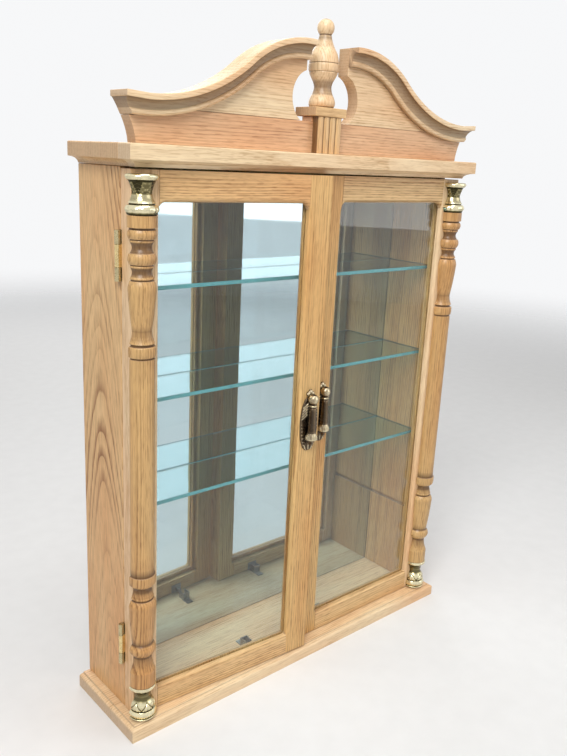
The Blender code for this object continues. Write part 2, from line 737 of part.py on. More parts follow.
def make_pediment(case, tops):
    mesh = facing_prism(lower_board_outline(), BOARD_FRONT, BOARD_BACK)
    board = Piece("pediment_lower_board", mesh, OAK, case)
    middle = (BOARD_FRONT + BOARD_BACK) / 2
    reach = PEDIMENT_HALF - PEDIMENT_DOWEL_INSET
    for x in (-reach, reach):
        dowel((x, middle, PEDIMENT_LOW), 1, board, tops, -1)
    lobe_x, lobe_z = SCROLL_GAP - LOBE_IN, SEAM + FIT + LOBE_RISE
    lobe_tall = LOBE_RISE / math.sin(math.radians(LOBE_UNDERCUT))
    lobe_start = math.degrees(math.acos(LOBE_IN / LOBE_WIDE))
    lobe = []
    for a in arc(lobe_start, -LOBE_UNDERCUT, LOBE_STEPS):
        lobe.append((lobe_x + LOBE_WIDE * math.cos(a), lobe_z + lobe_tall * math.sin(a)))
    outline = [(PEDIMENT_HALF, SEAM + FIT)] + [point for point, normal in scroll_curve()] + lobe
    for side, hand in ((-1, "left"), (1, "right")):
        mesh = facing_prism(outline, BOARD_FRONT, BOARD_BACK)
        Piece("pediment_%s_board" % hand, mesh, OAK_PALE, case, side)
        make_scroll(case, "%s_scroll_moulding" % hand, side)


def make_plinth(case):
    reed = PILASTER_HALF * 2 / REEDS
    back, face = BOARD_FRONT - FIT, PILASTER_FRONT + REED_RISE
    outline = [(-PILASTER_HALF, back)]
    for i in range(REEDS):
        start = -PILASTER_HALF + i * reed
        for a in arc(REED_EDGE, 180 - REED_EDGE, REED_STEPS):
            outline.append((start + reed / 2 * (1 - math.cos(a)), face - REED_RISE * math.sin(a)))
    outline.append((PILASTER_HALF, back))
    Piece("fluted_pilaster", upright_prism(outline, PEDIMENT_LOW, CAP_LOW - FIT), OAK, case)
    low = (-CAP_HALF, CAP_FRONT, CAP_LOW)
    cap = Piece("plinth_cap", box(low, (CAP_HALF, CAP_FRONT + CAP_DEPTH, CAP_HIGH)), OAK, case)
    tenon_low = CAP_HIGH - FINIAL_TENON_LENGTH
    hole = (0, FINIAL_Y, tenon_low - FIT)
    cap.drill(cylinder(hole, (0, FINIAL_Y, CAP_HIGH + OVERRUN), FINIAL_TENON + FIT, FINIAL_FACETS), 1)
    shape = turning(FINIAL_TURNING, FINIAL_RADIUS, CAP_HIGH + FIT)
    radius, height = shape[-1]
    start = math.degrees(math.acos(radius / FINIAL_BALL))
    crown = height + FINIAL_BALL * math.sin(math.radians(start))
    shape += ball_profile(FINIAL_BALL, crown, -start, POLE, BALL_STEPS)[1:]
    tenon = [(FINIAL_TENON, tenon_low), (FINIAL_TENON, CAP_HIGH + FIT)]
    Piece("finial", full_round(tenon + shape, 0, FINIAL_Y, FINIAL_FACETS), OAK_PALE, case, smooth=True)


# Hinges

def leaf_outline(middle, fingers):
    # front view of a leaf, with its fingers reaching into the barrel at the given spans
    low, high = hinge_span(middle)
    inner = HALF - LEAF_WIDTH
    finger = HINGE_X - BARREL_BORE - BARREL_WALL / 3
    root = HINGE_X - BARREL_RADIUS - FIT
    outline = [(inner, high), (inner, low)]
    height = low
    for start, end in fingers:
        if start > height:
            outline += [(root, height), (root, start)]
        outline += [(finger, start), (finger, end)]
        height = end
    if high > height:
        outline += [(root, height), (root, high)]
    return outline


def make_leaf(carrier, name, side, middle, spans, faces, direction, wood):
    # faces are the depths of the leaf's open face and of its seat in the wood
    fingers = [(middle + start, middle + end) for start, end in spans]
    leaf = Piece(name, facing_prism(leaf_outline(middle, fingers), *faces), BRASS, carrier, side)
    knuckles = []
    for start, end in fingers:
        ends = (HINGE_X, HINGE_Y, start), (HINGE_X, HINGE_Y, end)
        knuckles.append(cylinder(*ends, BARREL_RADIUS, KNUCKLE_FACETS))
    leaf.weld(join(knuckles))
    low, high = hinge_span(middle)
    ends = (HINGE_X, HINGE_Y, low - OVERRUN), (HINGE_X, HINGE_Y, high + OVERRUN)
    leaf.cut(cylinder(*ends, BARREL_BORE))
    low_corner = (HALF - LEAF_WIDTH - FIT, faces[0] - direction * OVERRUN, low - FIT)
    wood.cut(box(low_corner, (HALF + OVERRUN, faces[1] + direction * FIT, high + FIT)))
    for offset in (-SCREW_SPREAD / 2, SCREW_SPREAD / 2):
        screw((HALF - LEAF_WIDTH / 2, faces[0], middle + offset), (0, direction, 0), side, leaf, wood)


def make_hinge(case, door, name, side, middle, panel, stile):
    half, end = MIDDLE_KNUCKLE / 2, HINGE_HEIGHT / 2
    faces = -SIDE_DEPTH, -SIDE_DEPTH + LEAF_THICK
    make_leaf(case, name + "_case_leaf", side, middle, ((-end, -half), (half, end)), faces, 1, panel)
    faces = DOOR_BACK, DOOR_BACK - LEAF_THICK
    make_leaf(door, name + "_door_leaf", side, middle, ((FIT - half, half - FIT),), faces, -1, stile)
    low, high = hinge_span(middle)
    rod = cylinder((HINGE_X, HINGE_Y, low), (HINGE_X, HINGE_Y, high), PIN_RADIUS)
    Piece(name + "_pin", rod, BRASS, case, side)


# Doors

def opening_outline(grow):
    # front view of the door's opening, with rounded corners, grown on every side
    corners = (
        (OPEN_OUTER, OPEN_HIGH, -1, -1, CORNER_TOP, 0),
        (OPEN_INNER, OPEN_HIGH, 1, -1, CORNER_TOP, 90),
        (OPEN_INNER, OPEN_LOW, 1, 1, CORNER_BOTTOM, 180),
        (OPEN_OUTER, OPEN_LOW, -1, 1, CORNER_BOTTOM, 270),
    )
    outline = []
    for x, z, inward_x, inward_z, radius, start in corners:
        middle_x, middle_z = x + inward_x * radius, z + inward_z * radius
        for a in arc(start, start + 90, CORNER_STEPS):
            reach = radius + grow
            outline.append((middle_x + reach * math.cos(a), middle_z + reach * math.sin(a)))
    return outline


def opening_cutter():
    layers = [(DOOR_BACK + OVERRUN, 0.0)]
    for a in arc(0, 90, CORNER_STEPS):
        layers.append((DOOR_FRONT + ARRIS - ARRIS * math.sin(a), ARRIS - ARRIS * math.cos(a)))
    layers.append((DOOR_FRONT - OVERRUN, ARRIS))
    return loft([[(x, y, z) for x, z in opening_outline(grow)] for y, grow in layers])


def rebate_cutter():
    low = (OPEN_INNER - GLASS_LAP, GLASS_SEAT, OPEN_LOW - GLASS_LAP)
    return box(low, (OPEN_OUTER + GLASS_LAP, DOOR_BACK + OVERRUN, OPEN_HIGH + GLASS_LAP))


def make_frame(door, hand, side):
    seam = FIT / 2
    spans = {
        "hinge_stile": (OPEN_OUTER + seam, HALF, DOOR_LOW, DOOR_HIGH),
        "meeting_stile": (MEETING_EDGE, OPEN_INNER - seam, DOOR_LOW, DOOR_HIGH),
        "top_rail": (OPEN_INNER + seam, OPEN_OUTER - seam, OPEN_HIGH - CORNER_TOP, DOOR_HIGH),
        "bottom_rail": (OPEN_INNER + seam, OPEN_OUTER - seam, DOOR_LOW, OPEN_LOW + CORNER_BOTTOM),
    }
    frame = {}
    for name, (x0, x1, z0, z1) in spans.items():
        mesh = box((x0, DOOR_FRONT, z0), (x1, DOOR_BACK, z1))
        frame[name] = Piece("%s_door_%s" % (hand, name), mesh, OAK, door, side)
        frame[name].cut(opening_cutter())
        frame[name].cut(rebate_cutter())
    return frame


def make_glazing(door, hand, side):
    reach = GLASS_LAP - GLASS_PLAY
    low = (OPEN_INNER - reach, GLASS_SEAT + FIT, OPEN_LOW - reach)
    high = (OPEN_OUTER + reach, GLASS_BACK, OPEN_HIGH + reach)
    Piece("%s_door_glass" % hand, box(low, high), GLASS, door, side)
    lap, front = GLASS_LAP - FIT, GLASS_BACK + FIT
    back = front + (DOOR_BACK - front) * STOP_SHARE
    rings = []
    for reach, y in ((lap, back), (lap, front), (0, front), (0, back)):
        x0, x1, z0, z1 = OPEN_INNER - reach, OPEN_OUTER + reach, OPEN_LOW - reach, OPEN_HIGH + reach
        rings.append([(x0, y, z0), (x1, y, z0), (x1, y, z1), (x0, y, z1)])
    Piece("%s_door_glass_stop" % hand, loft(rings, closed=True), OAK, door, side)


def make_column(door, hand, side):
    x, y = HALF - COLUMN_INSET, DOOR_FRONT - FIT
    foot_low = DOOR_LOW + FIT
    foot_high = foot_low + turned_length(FOOT_TURNING)
    capital_low = DOOR_HIGH - CAPITAL_DROP - turned_length(CAPITAL_TURNING)
    upper = turning(UPPER_TURNING, COLUMN_RADIUS, capital_low - FIT, -1)
    lower = turning(LOWER_TURNING, COLUMN_RADIUS, foot_high + FIT)
    radius = COLUMN_RADIUS - SHAFT_SLIM
    shaft = [(radius, lower[-1][1] + SHOULDER), (radius, upper[-1][1] - SHOULDER)]
    profile = lower + shaft + upper[::-1]
    Piece("%s_column" % hand, half_round(profile, x, y), OAK, door, side, smooth=True)
    capital = turning(CAPITAL_TURNING, COLUMN_RADIUS, capital_low)
    Piece("%s_column_capital" % hand, half_round(capital, x, y), BRASS, door, side, smooth=True)
    foot = turning(FOOT_TURNING, COLUMN_RADIUS, foot_low)
    Piece("%s_column_foot" % hand, half_round(foot, x, y), BRASS, door, side, smooth=True)


def plate_outline():
    # an oval with a small round crown on top
    crown = PLATE_HALF_HEIGHT + CROWN_RISE
    half = []
    for i in range(PLATE_ROWS + 1):
        t = -math.cos(math.pi * i / PLATE_ROWS)
        z = t * (crown + CROWN_RADIUS) if t > 0 else t * PLATE_HALF_HEIGHT
        oval = PLATE_HALF_WIDTH * max(0.0, 1 - (z / PLATE_HALF_HEIGHT) ** 2) ** 0.4
        round_top = math.sqrt(max(0.0, CROWN_RADIUS ** 2 - (z - crown) ** 2))
        half.append((max(oval, round_top, CROWN_RADIUS / 6), z))
    return half + [(-x, z) for x, z in reversed(half)]


def make_pull(door, hand, side, stile):
    rings = []
    for y, size in ((PLATE_BACK, 1.0), (PLATE_BACK - PLATE_EDGE, 1.0), (PLATE_FRONT, PLATE_FACE)):
        rings.append([(PULL_X + x * size, y, PULL_Z + z * size) for x, z in plate_outline()])
    plate = Piece("%s_pull_plate" % hand, loft(rings), ANTIQUE, door, side)
    post_back = DOOR_FRONT + POST_DEPTH
    bar_back = PLATE_FRONT + POST_RADIUS
    side_view = [(bar_back, PIVOT_Z - LUG_BAR), (bar_back, PIVOT_Z + LUG_BAR)]
    for a in arc(45, 315, BALL_STEPS):
        side_view.append((PIVOT_Y + LUG_RADIUS * math.cos(a), PIVOT_Z + LUG_RADIUS * math.sin(a)))
    lug = loft([[(PULL_X + x, y, z) for y, z in side_view] for x in (-LUG_THICK / 2, LUG_THICK / 2)])
    post = Piece("%s_pull_post" % hand, lug, ANTIQUE, door, side)
    post.weld(cylinder((PULL_X, post_back, PIVOT_Z), (PULL_X, PLATE_FRONT, PIVOT_Z), POST_RADIUS))
    pin = Vector((PULL_PIN_REACH, 0, 0))
    pivot = Vector((PULL_X, PIVOT_Y, PIVOT_Z))
    post.weld(cylinder(pivot - pin, pivot + pin, PULL_PIN_RADIUS))
    for piece in (plate, stile):
        start = (PULL_X, post_back + FIT, PIVOT_Z)
        end = (PULL_X, PLATE_FRONT - OVERRUN, PIVOT_Z)
        piece.drill(cylinder(start, end, POST_RADIUS + FIT), side)

    hang = Carrier("%s_pendant_axis" % hand, (side * PULL_X, PIVOT_Y, PIVOT_Z), door)
    neck = math.degrees(math.acos((PENDANT_RADIUS + PENDANT_TURNING[0][1]) / PENDANT_BALL))
    ball = ball_profile(PENDANT_BALL, PIVOT_Z - PENDANT_HANG, POLE, -neck, BALL_STEPS)
    shape = ball + turning(PENDANT_TURNING, PENDANT_RADIUS, ball[-1][1], -1)
    tip = shape[-1][1] - PENDANT_TIP
    shape += ball_profile(PENDANT_TIP_RADIUS, tip + PENDANT_TIP_RADIUS, 0, -POLE, TIP_STEPS)
    body = full_round(shape, PULL_X, PIVOT_Y, PENDANT_FACETS)
    pendant = Piece("%s_pull_pendant" % hand, body, ANTIQUE, hang, side, smooth=True)
    slot = LUG_RADIUS + FIT
    low = (PULL_X - LUG_THICK / 2 - FIT, PIVOT_Y - slot, PIVOT_Z - slot)
    reach = PENDANT_BALL + OVERRUN
    pendant.cut(box(low, (PULL_X + LUG_THICK / 2 + FIT, PIVOT_Y + reach, PIVOT_Z + reach)))
    wide = PENDANT_RADIUS + OVERRUN
    low = (PULL_X - wide, PIVOT_Y + PENDANT_BACK, tip - OVERRUN)
    pendant.cut(box(low, (PULL_X + wide, PIVOT_Y + wide, PIVOT_Z + reach)))
    pendant.drill(cylinder(pivot - 2 * pin, pivot + 2 * pin, PULL_PIN_RADIUS + FIT), side)


def make_catch(case, door, hand, side, base, rail):
    half = STRIKE_WIDTH / 2
    low = (CATCH_X - half, DOOR_BACK + FIT, TONGUE_Z - STRIKE_HEIGHT / 2)
    strike_plate = box(low, (CATCH_X + half, STRIKE_BACK, TONGUE_Z + STRIKE_HEIGHT / 2))
    strike = Piece("%s_catch_strike" % hand, strike_plate, STEEL, door, side)
    root = STRIKE_BACK - STRIKE_THICK / 2
    edge = [(TONGUE_NECK, root), (TONGUE_NECK, STRIKE_BACK + TONGUE_NECK_LENGTH)]
    edge += [(TONGUE_HALF, STRIKE_BACK + TONGUE_SHOULDER), (TONGUE_POINT, TONGUE_TIP)]
    outline = [(CATCH_X + x, y) for x, y in edge] + [(CATCH_X - x, y) for x, y in reversed(edge)]
    strike.weld(upright_prism(outline, TONGUE_Z - TONGUE_HEIGHT / 2, TONGUE_Z + TONGUE_HEIGHT / 2))
    for offset in (-STRIKE_SCREW, STRIKE_SCREW):
        screw((CATCH_X + offset, STRIKE_BACK, TONGUE_Z), (0, -1, 0), side, strike, rail)

    jaw = TONGUE_HALF + CATCH_PLAY + CLIP_THICK / 2
    wide = jaw + CLIP_BELLY
    mouth = STRIKE_BACK + 2 * FIT
    web = TONGUE_TIP + CATCH_PLAY + CLIP_THICK / 2
    depth = web - mouth
    arm = [(wide, mouth), (jaw, mouth + depth * CLIP_JAW_AT)]
    arm += [(wide, mouth + depth * CLIP_BELLY_AT), (wide, web)]
    path = [(CATCH_X - x, y) for x, y in arm] + [(CATCH_X + x, y) for x, y in reversed(arm)]
    foot_low = FLOOR + FIT
    spring = upright_prism(strip(path, CLIP_THICK), foot_low, foot_low + CLIP_HEIGHT)
    clip = Piece("%s_catch_clip" % hand, spring, STEEL, case, side)
    foot = (CATCH_X - wide, web, foot_low)
    clip.weld(box(foot, (CATCH_X + wide, web + CLIP_FOOT, foot_low + CLIP_FOOT_THICK)))
    seat = (CATCH_X, web + CLIP_FOOT / 2, foot_low + CLIP_FOOT_THICK)
    screw(seat, (0, 0, -1), side, clip, base)


def make_door(case, hand, side, ajar, base, panel):
    door = Carrier("%s_door_axis" % hand, (side * HINGE_X, HINGE_Y, 0), case, side * ajar)
    frame = make_frame(door, hand, side)
    make_glazing(door, hand, side)
    make_column(door, hand, side)
    for level, middle in (("lower", FLOOR + HINGE_INSET), ("upper", CEILING - HINGE_INSET)):
        make_hinge(case, door, "%s_%s_hinge" % (hand, level), side, middle, panel, frame["hinge_stile"])
    make_catch(case, door, hand, side, base, frame["bottom_rail"])
    make_pull(door, hand, side, frame["meeting_stile"])


def centre_over_origin(case):
    bpy.context.view_layer.update()
    graph = bpy.context.evaluated_depsgraph_get()
    depths = []
    for piece in pieces:
        solid = piece.thing.evaluated_get(graph)
        depths += [(solid.matrix_world @ vertex.co).y for vertex in solid.data.vertices]
    case.empty.location.y = -(min(depths) + max(depths)) / 2
    print("back plane at y = %.6f" % case.empty.location.y)


def build():
    for thing in list(bpy.data.objects):
        bpy.data.objects.remove(thing)
    case = Carrier("case_root", (0, 0, 0))
    base = make_base(case)
    top, front_strip = make_top(case)
    tops = (top, front_strip)
    make_back(case)
    make_shelves(case)
    make_pediment(case, tops)
    make_plinth(case)
    for hand, side, ajar in (("left", -1, LEFT_AJAR), ("right", 1, 0.0)):
        panel = make_side(case, hand, side, base, tops)
        make_hanger(case, hand, side, top)
        make_door(case, hand, side, ajar, base, panel)
    for piece in pieces:
        piece.complete()
    centre_over_origin(case)


build()
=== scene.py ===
import itertools
import json
from math import acos, asin, atan2, ceil, cos, degrees, exp, hypot, pi, radians, sin, sqrt

import bmesh
import bpy
from mathutils import Matrix, Vector

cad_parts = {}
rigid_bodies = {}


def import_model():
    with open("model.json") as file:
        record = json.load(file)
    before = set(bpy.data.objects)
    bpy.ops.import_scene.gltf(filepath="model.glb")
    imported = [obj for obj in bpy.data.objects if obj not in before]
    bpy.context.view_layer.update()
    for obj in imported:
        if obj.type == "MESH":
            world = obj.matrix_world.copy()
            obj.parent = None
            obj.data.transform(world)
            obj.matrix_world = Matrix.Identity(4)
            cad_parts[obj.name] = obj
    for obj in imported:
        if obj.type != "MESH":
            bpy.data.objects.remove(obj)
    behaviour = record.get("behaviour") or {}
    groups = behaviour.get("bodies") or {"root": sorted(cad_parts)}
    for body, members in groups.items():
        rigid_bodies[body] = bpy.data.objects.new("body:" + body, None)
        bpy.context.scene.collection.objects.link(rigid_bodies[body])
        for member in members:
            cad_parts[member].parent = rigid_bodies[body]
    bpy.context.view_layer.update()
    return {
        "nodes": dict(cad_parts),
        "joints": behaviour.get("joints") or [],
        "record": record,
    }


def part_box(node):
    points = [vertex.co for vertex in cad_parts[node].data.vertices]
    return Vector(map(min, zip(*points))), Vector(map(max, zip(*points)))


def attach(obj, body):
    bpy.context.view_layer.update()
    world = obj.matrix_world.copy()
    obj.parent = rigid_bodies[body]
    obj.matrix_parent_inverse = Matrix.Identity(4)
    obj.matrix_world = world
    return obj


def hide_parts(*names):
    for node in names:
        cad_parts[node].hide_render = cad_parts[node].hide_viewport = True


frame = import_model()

nodes = frame["nodes"]
bodyOf = {node: body for body, members in frame["record"]["behaviour"]["bodies"].items() for node in members}
hinges = {joint["name"]: joint for joint in frame["joints"]}
hands = ("left", "right")
gap = 0.0003  # between two pieces that touch

for thing in list(bpy.data.objects):
    if thing.type in ("LIGHT", "CAMERA") or thing.name == "Cube":
        bpy.data.objects.remove(thing)


# meshes

def arc(start, end, steps):
    return [radians(start + (end - start) * i / steps) for i in range(steps + 1)]


def smoothStep(low, high, value):
    t = min(1.0, max(0.0, (value - low) / (high - low)))
    return t * t * (3 - 2 * t)


def within(value, rise, fall):
    # 1 between two slopes and 0 outside them
    return smoothStep(*rise, value) * (1 - smoothStep(*fall, value))


def bump(value, middle, width):
    return exp(-((value - middle) / width) ** 2)


def waves(height, angle, band):
    # a wavy band round a turning
    middle, width, depth, count = band
    return bump(height, middle, width) * depth * cos(count * angle)


def skin(rings):
    # faces over rows of points, each row a closed loop, and over both ends
    mesh = bmesh.new()
    loops = [[mesh.verts.new(point) for point in ring] for ring in rings]
    count = len(rings[0])
    for lower, upper in zip(loops, loops[1:]):
        for i in range(count):
            mesh.faces.new((lower[i], lower[(i + 1) % count], upper[(i + 1) % count], upper[i]))
    mesh.faces.new(loops[0])
    mesh.faces.new(loops[-1])
    bmesh.ops.recalc_face_normals(mesh, faces=mesh.faces)
    return mesh


def meshData(name, mesh):
    data = bpy.data.meshes.new(name)
    mesh.to_mesh(data)
    mesh.free()
    return data


def addObject(name, data):
    thing = bpy.data.objects.new(name, data)
    bpy.context.scene.collection.objects.link(thing)
    return thing


def joined(meshes):
    whole = bmesh.new()
    for mesh in meshes:
        data = meshData("part", mesh)
        whole.from_mesh(data)
        bpy.data.meshes.remove(data)
    return whole


def easeEdges(mesh, width, shortest=0.004, sharp=35):
    # rounds the long outer edges, as sandpaper does
    edges = []
    for edge in mesh.edges:
        if edge.is_manifold and edge.is_convex and edge.calc_length() > shortest:
            if edge.calc_face_angle() > radians(sharp):
                edges.append(edge)
    way = {"segments": 2, "profile": 0.5, "affect": "EDGES", "clamp_overlap": True}
    bmesh.ops.bevel(mesh, geom=edges, offset=width, **way)
    return mesh


def carved(mesh, cutters):
    # takes the room of the cutters out of the mesh
    holders = []
    for part in (mesh, *cutters):
        bmesh.ops.recalc_face_normals(part, faces=part.faces)
        holders.append(addObject("carving", meshData("carving", part)))
    for cutter in holders[1:]:
        cut = holders[0].modifiers.new("cut", "BOOLEAN")
        cut.solver = "EXACT"
        cut.object = cutter
    result = bmesh.new()
    result.from_object(holders[0], bpy.context.evaluated_depsgraph_get())
    for holder in holders:
        bpy.data.meshes.remove(holder.data)
    return result


def mirrorMesh(mesh):
    mesh.transform(Matrix.Scale(-1, 4, (1, 0, 0)))
    bmesh.ops.reverse_faces(mesh, faces=mesh.faces)


def makePiece(node, finish, mesh, paint, smooth=30, even=True):
    name = "%s_%s" % (node, finish)
    data = meshData(name, mesh)
    data.shade_smooth()
    data.set_sharp_from_angle(angle=radians(smooth))
    piece = addObject(name, data)
    if even:
        piece.modifiers.new("even faces", "WEIGHTED_NORMAL").keep_sharp = True
    for coat in paint if isinstance(paint, tuple) else (paint,):
        data.materials.append(coat)
    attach(piece, bodyOf[node])
    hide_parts(node)


def makeDoorPiece(hand, node, finish, mesh, paint, smooth, even=False):
    # shapes are drawn on the shut right door; the left door is its mirror image, and stands ajar
    if hand == "left":
        mirrorMesh(mesh)
        hinge = hinges["left_door_hinge"]
        pin = Matrix.Translation(hinge["pos_m"])
        mesh.transform(pin @ Matrix.Rotation(radians(hinge["range_deg"][0]), 4, "Z") @ pin.inverted())
    makePiece(node, finish, mesh, paint, smooth, even)


def nodeMesh(node):
    # a node's own shape, with its triangles joined into whole faces
    mesh = bmesh.new()
    mesh.from_mesh(nodes[node].data)
    bmesh.ops.remove_doubles(mesh, verts=mesh.verts, dist=0.00001)
    bmesh.ops.dissolve_limit(mesh, angle_limit=radians(1), verts=mesh.verts, edges=mesh.edges)
    return mesh


def rightBox(node):
    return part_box("right_" + node)


def cutBox(node):
    # the left door stands ajar, so its boards are measured on the right door
    if bodyOf[node] != "left_door":
        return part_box(node)
    low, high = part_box(node.replace("left", "right", 1))
    return Vector((-high.x, low.y, low.z)), Vector((-low.x, high.y, high.z))


def markVerts(mesh, values):
    # 0 in a hollow, 1 on a high place; materials read it as the relief attribute, and paint low places
    # darker: painted shade on wood, patina and painted shade on brass
    layer = mesh.verts.layers.float.new("relief")
    for vert, value in zip(mesh.verts, values):
        vert[layer] = min(1.0, max(0.0, value))


# material nodes: a node or socket knows its tree, as id_data

def feed(node, sockets):
    for key, value in sockets.items():
        socket = node.inputs[key]
        if isinstance(value, bpy.types.NodeSocket):
            node.id_data.links.new(value, socket)
        else:
            socket.default_value = (*value, 1) if socket.type == "RGBA" else value


def addNode(tree, kind, sockets, **settings):
    node = tree.nodes.new("ShaderNode" + kind)
    for key, value in settings.items():
        setattr(node, key, value)
    feed(node, sockets)
    return node.outputs


def calc(operation, a, b=0.0, c=0.0):
    return addNode(a.id_data, "Math", {0: a, 1: b, 2: c}, operation=operation)[0]


def times(a, b):
    return calc("MULTIPLY", a, b)


def vectors(operation, a, b=(0.0, 0.0, 0.0)):
    return addNode(a.id_data, "VectorMath", {0: a, 1: b}, operation=operation)


def noiseOf(place, size, detail=2.0, roughness=0.5):
    spot = vectors("MULTIPLY", place, size)[0]
    sockets = {"Vector": spot, "Scale": 1.0, "Detail": detail, "Roughness": roughness}
    return addNode(place.id_data, "TexNoise", sockets)


def ramp(factor, stops):
    stops = list(stops)
    colours = addNode(factor.id_data, "ValToRGB", {0: factor})[0]
    band = colours.node.color_ramp
    while len(band.elements) < len(stops):
        band.elements.new(0.5)
    for element, (position, colour) in zip(band.elements, stops):
        element.position = position
        element.color = (colour, colour, colour, 1) if isinstance(colour, float) else (*colour, 1)
    return colours


def noiseRamp(place, stops, *noise):
    return ramp(noiseOf(place, *noise)[0], stops)


def mixed(factor, a, b, blend="MIX"):
    return addNode(factor.id_data, "Mix", {0: factor, 6: a, 7: b}, data_type="RGBA", blend_type=blend)[2]


def reliefOf(place):
    return addNode(place.id_data, "Attribute", {}, attribute_name="relief")["Fac"]


def bumps(height, strength, distance):
    sockets = {"Height": height, "Strength": strength, "Distance": distance}
    return addNode(height.id_data, "Bump", sockets)[0]


def seeThrough(shader, share, colour=(1.0, 1.0, 1.0)):
    # a share of the light passes straight through the surface
    tree = share.id_data
    clear = addNode(tree, "BsdfTransparent", {"Color": colour})
    both = addNode(tree, "MixShader", {0: share, 1: shader.outputs[0], 2: clear[0]})
    feed(tree.nodes["Material Output"], {"Surface": both[0]})


def startMaterial(name):
    paint = bpy.data.materials.new(name)
    paint.use_nodes = True
    tree = paint.node_tree
    return paint, tree.nodes["Principled BSDF"], addNode(tree, "TexCoord", {})["Object"]


# oak

oakLook = {
    "taper": 0.15,  # of the tree, which draws arches on a flat-sawn board
    "uneven": 2.6,  # rings that one ring may be out of place
    "drift": (0.003, 0.002, 0.731),  # from one board's place in the tree to the next
    "streak": 0.5,  # shares of the dark colour
    "pore": 0.62, "patch": (0.9, 0.66, 0.5), "endGrain": (0.44, 0.3, 0.19),
    # the dark colour laid in grooves and hollows is painted shade
    "inGroove": (0.085, 0.036, 0.011), "roughness": (0.4, 0.62), "specular": 0.32, "coat": 0.06,
    "turnedCoat": 0.26, "coatRoughness": 0.24, "streakBump": -0.35, "bump": (0.3, 0.00018),
}
sawing = {  # depth is from the board to the middle of the tree, lean in degrees from it
    "flat": {"spacing": 0.0052, "depth": 0.028, "sway": 0.017, "lean": 2.4},
    "rift": {"spacing": 0.0029, "depth": 0.16, "sway": 0.00374, "lean": 0.84},
}
oakNoise = {  # size, detail and roughness
    "sway": ((13.0, 13.0, 4.0), 3.0),
    "season": ((0.26, 1.0, 2.0), 2.0, 0.55),
}
oakMarks = {  # ramp, and size, detail and roughness of its noise
    "figure": (((0.4, 0.35), (0.56, 1.0)), (9.0, 9.0, 5.0)),
    "streak": (((0.44, 0.0), (0.66, 1.0)), (420.0, 420.0, 24.0), 3.0, 0.62),
    "pore": (((0.5, 0.0), (0.62, 1.0)), (950.0, 950.0, 75.0), 1.5),
    "patch": (((0.4, 0.0), (0.66, 0.75)), (15.0, 15.0, 4.0)),
}
oakRamps = {
    "ring": ((0.0, 0.1), (0.05, 1.0), (0.24, 0.55), (0.58, 0.0), (1.0, 0.1)),  # over a year
    "season": ((0.38, 0.12), (0.6, 1.0)),
    "ringPores": ((0.0, 0.28), (0.8, 1.0)),
    "ringStreaks": ((0.0, 0.4), (0.8, 1.0)),
    "endGrain": ((0.7, 0.0), (0.97, 0.6)),
    # painted shade: darker where the relief attribute is lower
    "inGroove": ((0.06, 0.8), (0.46, 0.0)),
}
oakTones = {  # pores, early wood and late wood
    "honey": ((0.235, 0.1, 0.03), (0.51, 0.285, 0.107), (0.8, 0.55, 0.275)),
    "gold": ((0.225, 0.096, 0.026), (0.485, 0.258, 0.082), (0.755, 0.49, 0.205)),
    "pale": ((0.44, 0.25, 0.11), (0.77, 0.555, 0.315), (0.88, 0.69, 0.44)),
    "rosy": ((0.36, 0.175, 0.085), (0.64, 0.395, 0.225), (0.8, 0.54, 0.325)),
    "brown": ((0.15, 0.06, 0.016), (0.38, 0.195, 0.062), (0.64, 0.4, 0.165)),
    "figured": ((0.165, 0.06, 0.019), (0.365, 0.17, 0.06), (0.77, 0.505, 0.245)),
}
grainTurn = {"X": (0.0, -90.0), "Y": (90.0, 0.0), "Z": (0.0, 0.0)}  # degrees about X and Y
boardNumber = itertools.count(1)


